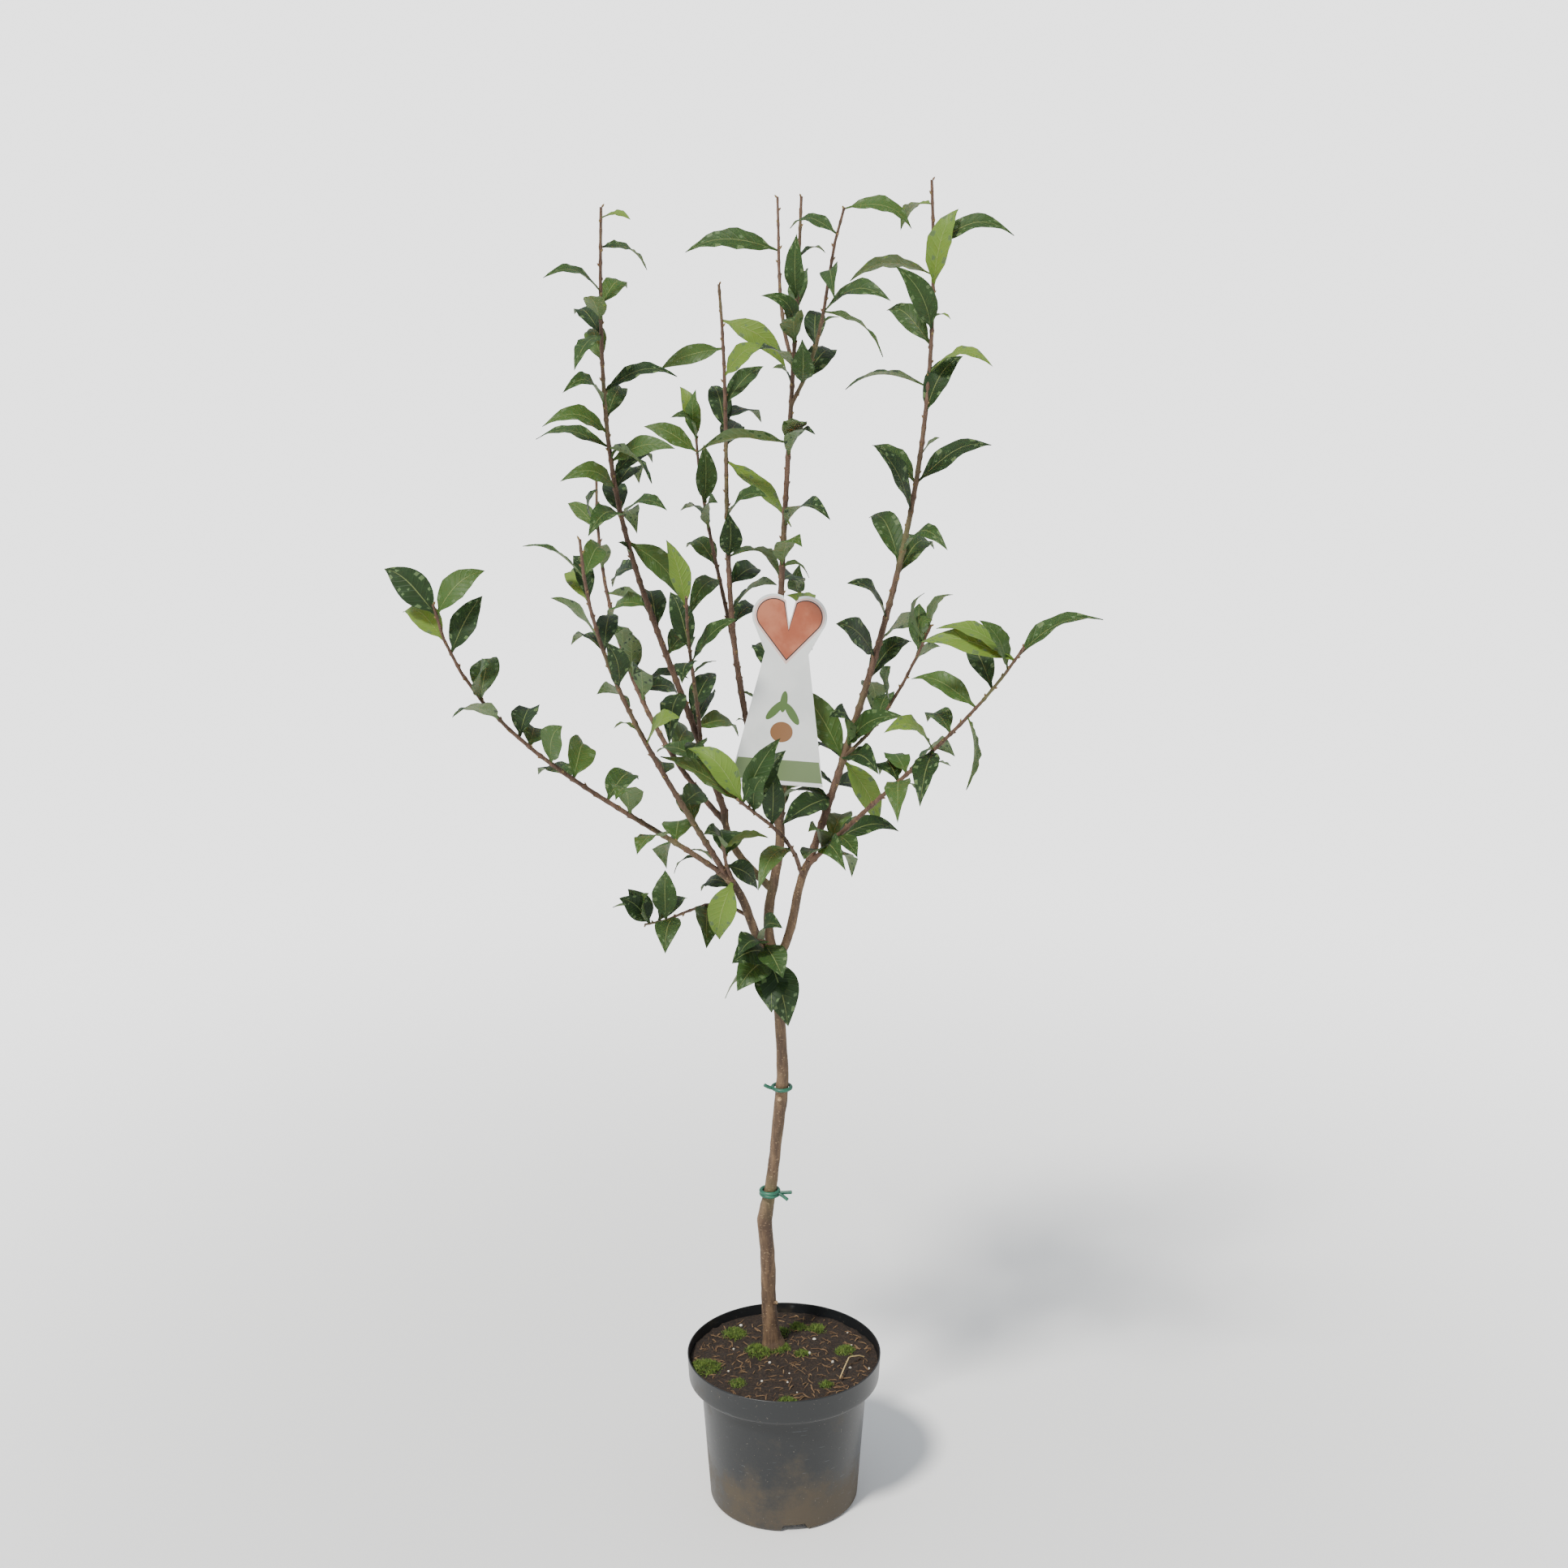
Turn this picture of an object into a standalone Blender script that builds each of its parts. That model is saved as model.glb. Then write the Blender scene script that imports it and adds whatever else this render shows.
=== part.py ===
# Young medlar tree in its round nursery pot, in metres, +Z up.
# The origin is the middle of the pot's flat underside, and the front of the tree faces -Y.
import math

import bmesh
import bpy
import numpy as np

GAP = 0.0003  # between two pieces that touch
MELT = 0.00016  # corners closer than this become one after a join
UP = np.array((0.0, 0.0, 1.0))

# Nursery pot of five litres
POT_SIDES = 48
POT_HEIGHT = 0.191
POT_WALL = 0.0018
POT_FOOT_RADIUS = 0.0895
POT_FOOT_ROUNDING = 0.005
POT_NECK_RADIUS = 0.100  # where the wall ends under the rim band
BAND_LOW = 0.160
BAND_RADII = (0.1142, 0.1158)  # low and high edge of the rim band
NOTCH_ANGLES = (-82, 38, 158)  # degrees from +X
NOTCH_HEIGHT = 0.0095
NOTCH_WIDTHS = (0.037, 0.025)  # at the ground and at its roof
NOTCH_REACH = (0.068, 0.100)  # from and to, out from the middle
COMPOST_TOP = 0.178

# Trunk: height, middle in x and y, and diameter, from the flat cut at soil level to the fork
TRUNK_SIDES = 12
TRUNK_LEVELS = (
    (0.1783, -0.0130, 0.034, 0.0300),
    (0.1880, -0.0145, 0.034, 0.0235),
    (0.2060, -0.0165, 0.033, 0.0190),
    (0.2420, -0.0186, 0.031, 0.0174),
    (0.2800, -0.0190, 0.029, 0.0182),
    (0.3130, -0.0202, 0.026, 0.0168),
    (0.3520, -0.0232, 0.023, 0.0182),  # graft
    (0.3720, -0.0200, 0.021, 0.0164),
    (0.3960, -0.0158, 0.019, 0.0140),
    (0.4600, -0.0088, 0.015, 0.0130),
    (0.5150, -0.0036, 0.011, 0.0154),
    (0.5420, -0.0018, 0.009, 0.0146),
    (0.5900, -0.0032, 0.006, 0.0130),
    (0.6600, -0.0080, 0.002, 0.0128),
    (0.6930, -0.0100, 0.000, 0.0136),
)
TRUNK_RING_STEP = 0.022
# Stubs of pruned side shoots: height, heading in degrees from +X, length, diameter
PRUNING_STUBS = (
    (0.513, -100, 0.0115, 0.0060),
    (0.622, -70, 0.0095, 0.0052),
    (0.236, -35, 0.0125, 0.0050),
)

# Bare boughs. Each leaves its parent at a share of the parent's length and bends past two knees to
# its tip. Radii are at foot and tip, and clear_of names the limbs that it is cut back from.
BOUGH_SIDES = 8
BOUGHS = (
    dict(name="leader_bough", grows_from=("trunk", 1.0), knees=((-0.033, 0.003, 0.748), (0.004, 0.006, 0.802)),
         tip=(-0.006, 0.010, 0.859), radii=(0.0060, 0.0050), clear_of=("trunk",)),
    dict(name="right_bough", grows_from=("trunk", 0.99), knees=((0.017, -0.004, 0.728), (0.008, -0.006, 0.777)),
         tip=(0.029, -0.010, 0.813), radii=(0.0054, 0.0046), clear_of=("trunk", "leader_bough")),
    dict(name="left_bough", grows_from=("trunk", 0.98), knees=((-0.044, -0.015, 0.724), (-0.034, -0.032, 0.784)),
         tip=(-0.072, -0.050, 0.814), radii=(0.0056, 0.0044), clear_of=("trunk", "leader_bough", "right_bough")),
    dict(name="inner_bough", grows_from=("leader_bough", 0.49), knees=((-0.042, 0.010, 0.799), (-0.068, 0.015, 0.825)),
         tip=(-0.067, 0.020, 0.861), radii=(0.0048, 0.0040), clear_of=("leader_bough", "left_bough")),
)

# Leafy shoots. Along each one a bud stands every BUD_STEP, and buds tells them off from the foot:
# a dot is one bare bud and a number that many. A leaf is a letter and a digit. The letter is the way it
# points as seen from the front, in steps of 15 degrees clockwise from straight up (a up, g right, m down,
# s left). It is a capital where the blade shows its face and small where it shows its edge. The digit is
# how much of the leaf shows from the front, in centimetres (0 is ten), and the rest of its length leans
# towards the front or the back. Shoots with the same mass grow together in one node.
BUD_STEP = 0.015
SHOOT_SIDES = 4
SHOOT_RING_STEP = 0.040
SHOOTS = (
    dict(name="right_tall_shoot", mass="right_tall_shoot", grows_from=("right_bough", 1.0),
         knees=((0.122, 0.033, 1.099), (0.174, 0.054, 1.243)), tip=(0.159, 0.100, 1.548),
         radii=(0.0044, 0.0016), leaf=0.100, seed=11, clear_of=("right_bough",),
         buds="5 s6Q6 t6i4 . t4X0K8H4 W4E7 4 L4D7 . V6 e6 . V6 . . D6 W7 f5 . . W8 . V7D0 . d3 . . C8 . s9 f7"
              " . V7 W8 g2 . B0 s9 . F9 . . q4 ."),
    dict(name="right_side_twig", mass="right_tall_shoot", grows_from=("right_tall_shoot", 0.16),
         knees=((0.106, -0.012, 0.971), (0.123, -0.023, 0.999)), tip=(0.157, -0.060, 1.094),
         radii=(0.0022, 0.0013), leaf=0.075, seed=12, buds="4 C4 . a5 . . d5 . A6 a6A3 c5"),
    dict(name="right_low_shoot", mass="right_low_shoot", grows_from=("right_bough", 0.93),
         knees=((0.102, -0.056, 0.907), (0.193, -0.107, 0.984)), tip=(0.246, -0.160, 1.093),
         radii=(0.0030, 0.0015), leaf=0.095, seed=13, clear_of=("right_bough", "right_tall_shoot"),
         buds=". . I3R2W3i4 C3F8 J3 6 V3M4i3 V3f5 e5 . N5U6 . U3 . m7 U8 . W6 . W6 T0T9D0"),
    dict(name="front_shoot", mass="front_shoot", grows_from=("right_bough", 0.84),
         knees=((0.010, -0.055, 0.861), (-0.023, -0.099, 0.887)), tip=(-0.049, -0.150, 0.927),
         radii=(0.0026, 0.0016), leaf=0.095, seed=14, clear_of=("right_bough", "right_tall_shoot", "right_low_shoot"),
         buds="r3 . . . P5 . . . A7 . . B5 C8 C8U0W9"),
    dict(name="leader_shoot", mass="leader_shoot", grows_from=("leader_bough", 1.0),
         knees=((-0.012, 0.007, 1.100), (0.010, 0.004, 1.299)), tip=(0.018, 0.000, 1.535),
         radii=(0.0044, 0.0015), leaf=0.095, seed=15, clear_of=("leader_bough",),
         buds="10 W6 7 H2 h3D3 . . f5 4 D4 C3s0 . . . v3 . . A3W7 . B5 A7b1 . . e3 4"),
    dict(name="leader_right_twig", mass="leader_shoot", grows_from=("leader_shoot", 0.68),
         knees=((0.051, -0.036, 1.397), (0.038, -0.064, 1.460)), tip=(0.060, -0.100, 1.528),
         radii=(0.0022, 0.0013), leaf=0.085, seed=16, buds=". . A5D5 . . X4 . e2 i7F7 . . L2 . . T5 . H7"),
    dict(name="leader_left_twig", mass="leader_shoot", grows_from=("leader_shoot", 0.74),
         knees=((-0.010, 0.034, 1.415), (-0.004, 0.066, 1.470)), tip=(-0.007, 0.100, 1.530),
         radii=(0.0022, 0.0013), leaf=0.085, seed=17, buds="U4 8 S0 4"),
    dict(name="left_centre_shoot", mass="left_centre_shoot", grows_from=("leader_bough", 0.90),
         knees=((-0.087, 0.026, 1.047), (-0.051, 0.042, 1.237)), tip=(-0.070, 0.060, 1.441),
         radii=(0.0038, 0.0015), leaf=0.090, seed=18, clear_of=("leader_bough", "leader_shoot"),
         buds="8 v2 . . j3 4 f4 e6 . E4 . h6A5 . . E5 . . . J0 C3 X6 g4 D6 . D6 . R7 . I8 ."),
    dict(name="left_centre_twig", mass="left_centre_shoot", grows_from=("left_centre_shoot", 0.22),
         knees=((-0.060, 0.101, 1.082), (-0.094, 0.121, 1.163)), tip=(-0.101, 0.170, 1.274),
         radii=(0.0027, 0.0014), leaf=0.085, seed=19, buds="11 P5 V5 . . B4v4 . A7 . . . U7 V4X7A6"),
    dict(name="left_tall_shoot", mass="left_tall_shoot", grows_from=("inner_bough", 1.0),
         knees=((-0.164, -0.007, 1.169), (-0.203, -0.007, 1.174)), tip=(-0.187, -0.040, 1.526),
         radii=(0.0040, 0.0015), leaf=0.090, seed=33, clear_of=("inner_bough",),
         buds="4 T6 . . G5C5 C6 . N5 . . E3 . X5 . q5 . . Q3 v2 J8 . Q4I2F5X4 . E3T6 E5 F7d2 T8i5 T7u2 C4 u5 F8"
              " . X4 . P4V4 W3 D4 T6 . . H5 . g3"),
    dict(name="left_inner_twig", mass="left_tall_shoot", grows_from=("left_tall_shoot", 0.12),
         knees=((-0.094, -0.018, 1.010), (-0.106, -0.048, 1.068)), tip=(-0.103, -0.080, 1.129),
         radii=(0.0024, 0.0014), leaf=0.090, seed=21, buds="O2 6 e3 d7O2 X8 . . . X8"),
    dict(name="left_back_shoot", mass="left_back_shoot", grows_from=("inner_bough", 0.88),
         knees=((-0.167, 0.120, 0.926), (-0.220, 0.155, 1.064)), tip=(-0.219, 0.220, 1.206),
         radii=(0.0034, 0.0015), leaf=0.090, seed=42, clear_of=("inner_bough", "left_tall_shoot"),
         buds="7 C4 4 X4 H5f6 A5 . X3 4 i6 . X3 . . V5a5 . . ."),
    dict(name="left_low_shoot", mass="left_low_shoot", grows_from=("left_bough", 1.0),
         knees=((-0.170, -0.070, 0.896), (-0.342, -0.096, 0.973)), tip=(-0.364, -0.120, 1.129),
         radii=(0.0032, 0.0015), leaf=0.085, seed=23, ratio=0.42, clear_of=("left_bough",),
         buds=". . q3 h3 O2B2 R3 . . W3 . D5 . . B5t4 . B5 . B2 C4 . t5 . B4B5 . . . C7 V6 . W8C7"),
    dict(name="left_front_shoot", mass="left_front_shoot", grows_from=("left_bough", 0.90),
         knees=((-0.131, -0.124, 0.953), (-0.203, -0.153, 1.071)), tip=(-0.203, -0.200, 1.212),
         radii=(0.0036, 0.0015), leaf=0.090, seed=24, clear_of=("left_bough", "left_low_shoot"),
         buds="6 X4 . E3 . . X2 . . D5 u3 . u4 . X5 . . B4u4 v7 . . W4X6 . u7C4 ."),
    dict(name="lowest_shoot", mass="lowest_shoot", grows_from=("left_bough", 0.50),
         knees=((-0.082, 0.027, 0.775), (-0.118, 0.056, 0.714)), tip=(-0.164, 0.100, 0.697),
         radii=(0.0020, 0.0013), leaf=0.070, seed=25, ratio=0.52, clear_of=("left_bough",),
         buds="5 M4 . . . N4 A6 D5 a4W5V5u5"),
    dict(name="trunk_leaves", mass="trunk_leaves", grows_from=("trunk", 0.95),
         knees=((-0.017, -0.016, 0.687), (-0.017, -0.032, 0.710)), tip=(-0.023, -0.050, 0.733),
         radii=(0.0024, 0.0016), leaf=0.070, seed=38, ratio=0.62, clear_of=("trunk", "left_bough", "right_bough"),
         buds=". . M5q6 M7P5 R4 K4R3 D3"),
    dict(name="knot_leaves", mass="knot_leaves", grows_from=("left_bough", 0.79),
         knees=((-0.062, -0.056, 0.814), (-0.067, -0.073, 0.838)), tip=(-0.067, -0.090, 0.863),
         radii=(0.0024, 0.0016), leaf=0.065, seed=47, ratio=0.50, clear_of=("left_bough", "left_low_shoot", "left_front_shoot"),
         buds="S4 N6T6 . I4 X3B3 V3F5"),
    dict(name="back_shoot", mass="back_shoot", grows_from=("leader_bough", 0.70),
         knees=((0.000, 0.080, 0.870), (0.010, 0.160, 0.950)), tip=(0.020, 0.240, 1.080),
         radii=(0.0032, 0.0015), leaf=0.090, seed=28, clear_of=("leader_bough", "inner_bough", "left_centre_shoot"),
         buds="4 X4 . F4 . R3 B4 . W3 H3 . A4 T4 . D3 L2 . X5 C4 . A4"),
)

# Front view: the eye stands in front of the tree, and leaf letters are read across its line of sight
EYE = np.array((0.0, -2.5, 1.64))

# Leaf shape, as shares of its length
LEAF_RATIO = 0.32  # width of a common leaf
PETIOLE_SHARE = 0.07
PETIOLE_HALF_WIDTH = 0.0010
LEAF_KEEL = 0.0125
ARCH_RANGE = (0.05, 0.20)
ROLL_DEGREES = 22
TWIST_DEGREES = 35
LEAF_AWAY_MOST = 0.085
SOLID_STATIONS = np.array((0.0, 0.28, 0.64, 1.0))
FEELER_STATIONS = np.linspace(0.2, 1.0, 10)
# Leans tried in turn until the leaf is clear: side of the plane, turn in degrees, share of the lean
LEANS = ((1, 0, 1.0), (-1, 0, 1.0), (1, 0, 0.6), (-1, 0, 0.6), (1, 10, 1.0), (1, -10, 1.0),
         (-1, 10, 1.0), (-1, -10, 1.0), (1, 0, 0.25), (-1, 0, 0.25), (1, 18, 0.8), (-1, -18, 0.8))
ROOM_TO_OTHERS = 0.0075
ROOM_TO_OWN = 0.004
ROOM_TO_LIMB = 0.003

# Name card, hung on the leader by a loop of its own plastic
CARD_THICKNESS = 0.0009
CARD_HEIGHT = 0.211
CARD_LOBE_RADIUS = 0.0235
CARD_LOBE_OFFSET = 0.0175
CARD_NOTCH_DEPTH = 0.030
CARD_WAIST = (0.024, 0.064)  # half width, and distance below the top
CARD_FOOT_HALF = 0.0535
CARD_TOP = (0.0080, 0.0004, 1.114)
CARD_TURN = 4.5  # degrees, clockwise as seen from the front
CARD_TILT = 5.0  # degrees, foot towards the front
CARD_LOOP_DROP = 0.036
CARD_LOOP_WIRE = 0.0008

# Soft green tubes tied round the trunk: height, tail headings and tail lengths
TIES = (
    dict(name="lower_tie", height=0.3905, turns=2, tails=((-12, 0.016, 0.002), (-25, 0.013, -0.006))),
    dict(name="upper_tie", height=0.5290, turns=1, tails=((-165, 0.010, 0.005),)),
)
TIE_RADIUS = 0.0022


def clear_scene():
    for thing in list(bpy.data.objects):
        bpy.data.objects.remove(thing, do_unlink=True)


def make_material(name, colour, roughness, metallic=0.0):
    material = bpy.data.materials.new(name)
    material.use_nodes = True
    shader = material.node_tree.nodes["Principled BSDF"]
    shader.inputs["Base Color"].default_value = (*colour, 1.0)
    shader.inputs["Roughness"].default_value = roughness
    shader.inputs["Metallic"].default_value = metallic
    return material


def make_object(name, vertices, faces, material=None):
    mesh = bpy.data.meshes.new(name)
    mesh.from_pydata([tuple(v) for v in vertices], [], faces)
    mesh.validate()
    thing = bpy.data.objects.new(name, mesh)
    bpy.context.scene.collection.objects.link(thing)
    if material:
        mesh.materials.append(material)
    return thing


def finish(thing, material, sharp_degrees=40):
    thing.data.materials.clear()
    thing.data.materials.append(material)
    thing.data.shade_smooth()
    thing.data.set_sharp_from_angle(angle=math.radians(sharp_degrees))


def unit(vector):
    return vector / np.linalg.norm(vector)


# Limbs

def bent_line(foot, knees, tip, count):
    # cubic curve from the foot to the tip, pulled towards the two knees
    t = np.linspace(0.0, 1.0, count)[:, None]
    p0, p1, p2, p3 = (np.array(p, float) for p in (foot, *knees, tip))
    return (1 - t) ** 3 * p0 + 3 * (1 - t) ** 2 * t * p1 + 3 * (1 - t) * t**2 * p2 + t**3 * p3


def even_line(points, step):
    # the same line with points at an even step along it
    lengths = np.r_[0.0, np.cumsum(np.linalg.norm(np.diff(points, axis=0), axis=1))]
    count = max(2, int(round(lengths[-1] / step)) + 1)
    at = np.linspace(0.0, lengths[-1], count)
    return np.stack([np.interp(at, lengths, points[:, k]) for k in range(3)], axis=1)


def smooth_levels(levels, step):
    # Catmull-Rom curve through the trunk's levels, read at an even step of height
    rows = np.array(levels, float)
    padded = np.vstack((2 * rows[0] - rows[1], rows, 2 * rows[-1] - rows[-2]))
    smooth = []
    for k in range(len(rows) - 1):
        a, b, c, d = padded[k:k + 4]
        count = max(1, int(round((c[0] - b[0]) / step)))
        for t in np.arange(count) / count:
            smooth.append(0.5 * (2 * b + (c - a) * t + (2 * a - 5 * b + 4 * c - d) * t**2
                                 + (3 * b - a - 3 * c + d) * t**3))
    smooth.append(rows[-1])
    return np.array(smooth)


def ring_frames(points):
    # two cross directions at each point, carried along without twist
    tangents = np.gradient(points, axis=0)
    tangents /= np.linalg.norm(tangents, axis=1)[:, None]
    first = unit(np.cross(tangents[0], (0.0, 1.0, 0.12)))
    sides = [first]
    for tangent in tangents[1:]:
        side = sides[-1] - tangent * np.dot(sides[-1], tangent)
        sides.append(unit(side))
    sides = np.array(sides)
    return tangents, sides, np.cross(tangents, sides)


def tube_mesh(points, radii, sides):
    _, across, over = ring_frames(points)
    angles = np.arange(sides) * 2 * math.pi / sides
    rings = (points[:, None] + radii[:, None, None] * (across[:, None] * np.cos(angles)[None, :, None]
                                                       + over[:, None] * np.sin(angles)[None, :, None]))
    vertices = rings.reshape(-1, 3)
    faces = []
    for row in range(len(points) - 1):
        for k in range(sides):
            a = row * sides + k
            b = row * sides + (k + 1) % sides
            faces.append((a, b, b + sides, a + sides))
    faces.append(tuple(range(sides))[::-1])
    last = (len(points) - 1) * sides
    faces.append(tuple(range(last, last + sides)))
    return vertices, faces


class Limb:
    # the middle line, radii and number of sides of a trunk, bough or shoot
    def __init__(self, name, points, radii, sides, level=False):
        self.name = name
        self.points = points
        self.radii = radii
        self.sides = sides
        self.level = level  # rings lie level, so that the foot is a flat cut

    def at(self, share):
        lengths = np.r_[0.0, np.cumsum(np.linalg.norm(np.diff(self.points, axis=0), axis=1))]
        where = share * lengths[-1]
        return np.array([np.interp(where, lengths, self.points[:, k]) for k in range(3)])

    def mesh(self, grown=0.0):
        points = self.points.copy()
        if grown:
            points[0] -= unit(points[1] - points[0]) * grown
            points[-1] += unit(points[-1] - points[-2]) * grown
        wider = 1.1 * grown / math.cos(math.pi / self.sides)
        shape = level_tube if self.level else tube_mesh
        return shape(points, self.radii + wider, self.sides)


def limb_from(spec, parent, sides, step):
    foot = parent.at(spec["grows_from"][1])
    line = bent_line(foot, spec["knees"], spec["tip"], 161)
    points = even_line(line, step)
    share = np.linspace(0.0, 1.0, len(points))
    radii = spec["radii"][0] + (spec["radii"][1] - spec["radii"][0]) * share
    return Limb(spec["name"], points, radii, sides)


# Boolean joins and cuts

def apply_boolean(thing, operation, cutters, solver="EXACT"):
    group = bpy.data.collections.new("cutters")
    bpy.context.scene.collection.children.link(group)
    for cutter in cutters:
        bpy.context.scene.collection.objects.unlink(cutter)
        group.objects.link(cutter)
    modifier = thing.modifiers.new("join", "BOOLEAN")
    modifier.operation = operation
    modifier.operand_type = "COLLECTION"
    modifier.collection = group
    modifier.solver = solver
    graph = bpy.context.evaluated_depsgraph_get()
    result = bpy.data.meshes.new_from_object(thing.evaluated_get(graph))
    thing.modifiers.clear()
    thing.data = result
    for cutter in cutters:
        bpy.data.objects.remove(cutter, do_unlink=True)
    bpy.data.collections.remove(group)


def cut_back(thing, limbs, solver="EXACT"):
    # leaves GAP between the piece and each limb named
    for limb in limbs:
        cutter = make_object("cutter", *limb.mesh(grown=GAP))
        apply_boolean(thing, "DIFFERENCE", [cutter], solver)


def drop_doubled_faces(work):
    # two triangles on the same corners are a fold of no thickness: both go
    seen = {}
    doubled = []
    for face in work.faces:
        corners = frozenset(face.verts)
        if corners in seen:
            doubled += [face, seen[corners]]
        seen[corners] = face
    bmesh.ops.delete(work, geom=doubled, context="FACES")


def melt_short_edges(work):
    # merges the ends of very short edges where the surface stays closed
    short = [edge for edge in work.edges if edge.calc_length() < MELT]
    for edge in short:
        if not edge.is_valid:
            continue
        a, b = edge.verts
        around_a = {other.other_vert(a) for other in a.link_edges}
        around_b = {other.other_vert(b) for other in b.link_edges}
        if len(around_a & around_b) == 2:
            bmesh.ops.pointmerge(work, verts=[a, b], merge_co=a.co)


def turn_needles(work):
    # gives a triangle of almost no height its neighbour's other diagonal
    for face in list(work.faces):
        if not face.is_valid or len(face.verts) != 3:
            continue
        longest = max(face.edges, key=lambda edge: edge.calc_length())
        if 2 * face.calc_area() > 0.25 * MELT * longest.calc_length() or len(longest.link_faces) != 2:
            continue
        corners = [next(v for v in side.verts if v not in longest.verts) for side in longest.link_faces]
        if any(edge.other_vert(corners[0]) is corners[1] for edge in corners[0].link_edges):
            continue
        bmesh.utils.edge_rotate(longest, False)


def drop_loose_shells(work):
    # a scrap, or the wall of a sealed hollow, is a shell of its own: only the largest shell stays
    left = set(work.faces)
    shells = []
    while left:
        stack = [left.pop()]
        shell = []
        while stack:
            face = stack.pop()
            shell.append(face)
            for edge in face.edges:
                for other in edge.link_faces:
                    if other in left:
                        left.remove(other)
                        stack.append(other)
        shells.append(shell)
    shells.sort(key=len)
    for shell in shells[:-1]:
        bmesh.ops.delete(work, geom=shell, context="FACES")


def keep_main_body(thing):
    work = bmesh.new()
    work.from_mesh(thing.data)
    bmesh.ops.triangulate(work, faces=work.faces[:], quad_method="BEAUTY", ngon_method="EAR_CLIP")
    drop_doubled_faces(work)
    drop_loose_shells(work)
    for _ in range(4):
        melt_short_edges(work)
        turn_needles(work)
    drop_loose_shells(work)
    work.to_mesh(thing.data)
    work.free()


# Pot and compost

def turned(name, profile, material):
    # closed profile of (radius, height) points, from the axis round to the axis, turned about Z
    count = len(profile)
    vertices = []
    for k in range(POT_SIDES):
        angle = 2 * math.pi * k / POT_SIDES
        for radius, height in profile[1:-1]:
            vertices.append((radius * math.cos(angle), radius * math.sin(angle), height))
    low = len(vertices)
    vertices.append((0.0, 0.0, profile[0][1]))
    vertices.append((0.0, 0.0, profile[-1][1]))
    rings = count - 2
    faces = []
    for k in range(POT_SIDES):
        here = k * rings
        after = ((k + 1) % POT_SIDES) * rings
        for row in range(rings - 1):
            faces.append((here + row, after + row, after + row + 1, here + row + 1))
        faces.append((low, after, here))
        faces.append((low + 1, here + rings - 1, after + rings - 1))
    return make_object(name, vertices, faces, material)


def wall_radius(height, inset):
    share = (height - POT_FOOT_ROUNDING) / (BAND_LOW - POT_FOOT_ROUNDING)
    return POT_FOOT_RADIUS + (POT_NECK_RADIUS - POT_FOOT_RADIUS) * share - inset


def band_radius(height, inset):
    share = (height - BAND_LOW) / (POT_HEIGHT - BAND_LOW)
    return BAND_RADII[0] + (BAND_RADII[1] - BAND_RADII[0]) * share - inset


def notch_block(name, grown, angle, reach, low, high):
    # block with a trapezoid face, laid out from the pot's middle at an angle
    half_low = NOTCH_WIDTHS[0] / 2 + grown
    half_high = NOTCH_WIDTHS[1] / 2 + grown
    slope = (half_high - half_low) / (high - low) if high > low else 0.0
    face = ((-half_low, low), (half_low, low), (half_low + slope * (high - low), high),
            (-half_low - slope * (high - low), high))
    turn = math.radians(angle)
    vertices = []
    for out in reach:
        for across, height in face:
            vertices.append((out * math.cos(turn) - across * math.sin(turn),
                             out * math.sin(turn) + across * math.cos(turn), height))
    faces = [(0, 1, 2, 3), (7, 6, 5, 4), (0, 4, 5, 1), (1, 5, 6, 2), (2, 6, 7, 3), (3, 7, 4, 0)]
    return make_object(name, vertices, faces)


def face_outwards(thing):
    work = bmesh.new()
    work.from_mesh(thing.data)
    bmesh.ops.recalc_face_normals(work, faces=work.faces[:])
    work.to_mesh(thing.data)
    work.free()


def build_pot():
    plastic = make_material("pot_plastic", (0.030, 0.036, 0.040), 0.45)
    r = POT_FOOT_ROUNDING
    corner = [(POT_FOOT_RADIUS - r + r * math.sin(a), r - r * math.cos(a))
              for a in np.radians((0, 30, 60, 90))]
    floor = POT_WALL + 0.0012
    lip = 0.0008
    step = BAND_LOW + POT_WALL
    inner = [(band_radius(POT_HEIGHT, POT_WALL), POT_HEIGHT - lip), (band_radius(step, POT_WALL), step + 0.0016),
             (wall_radius(step, POT_WALL), step), (wall_radius(floor + 0.004, POT_WALL), floor + 0.004),
             (wall_radius(floor, POT_WALL) - 0.004, floor)]
    profile = [(0.0, 0.0)] + corner
    profile += [(POT_NECK_RADIUS, BAND_LOW - 0.0015), (BAND_RADII[0], BAND_LOW),
                (band_radius(POT_HEIGHT - lip, 0), POT_HEIGHT - lip),
                (BAND_RADII[1] - lip, POT_HEIGHT)] + inner + [(0.0, floor)]
    pot = turned("pot", profile, plastic)
    face_outwards(pot)
    housings = []
    cutters = []
    for angle in NOTCH_ANGLES:
        roof = NOTCH_HEIGHT + POT_WALL
        housings.append(notch_block("housing", 0.002, angle, (NOTCH_REACH[0] - 0.002, 0.0835), 0.001, roof))
        cutters.append(notch_block("notch", 0.0, angle, NOTCH_REACH, -0.001, NOTCH_HEIGHT))
    for block in housings + cutters:
        face_outwards(block)
    apply_boolean(pot, "UNION", housings)
    apply_boolean(pot, "DIFFERENCE", cutters)
    keep_main_body(pot)
    finish(pot, plastic)


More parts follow.
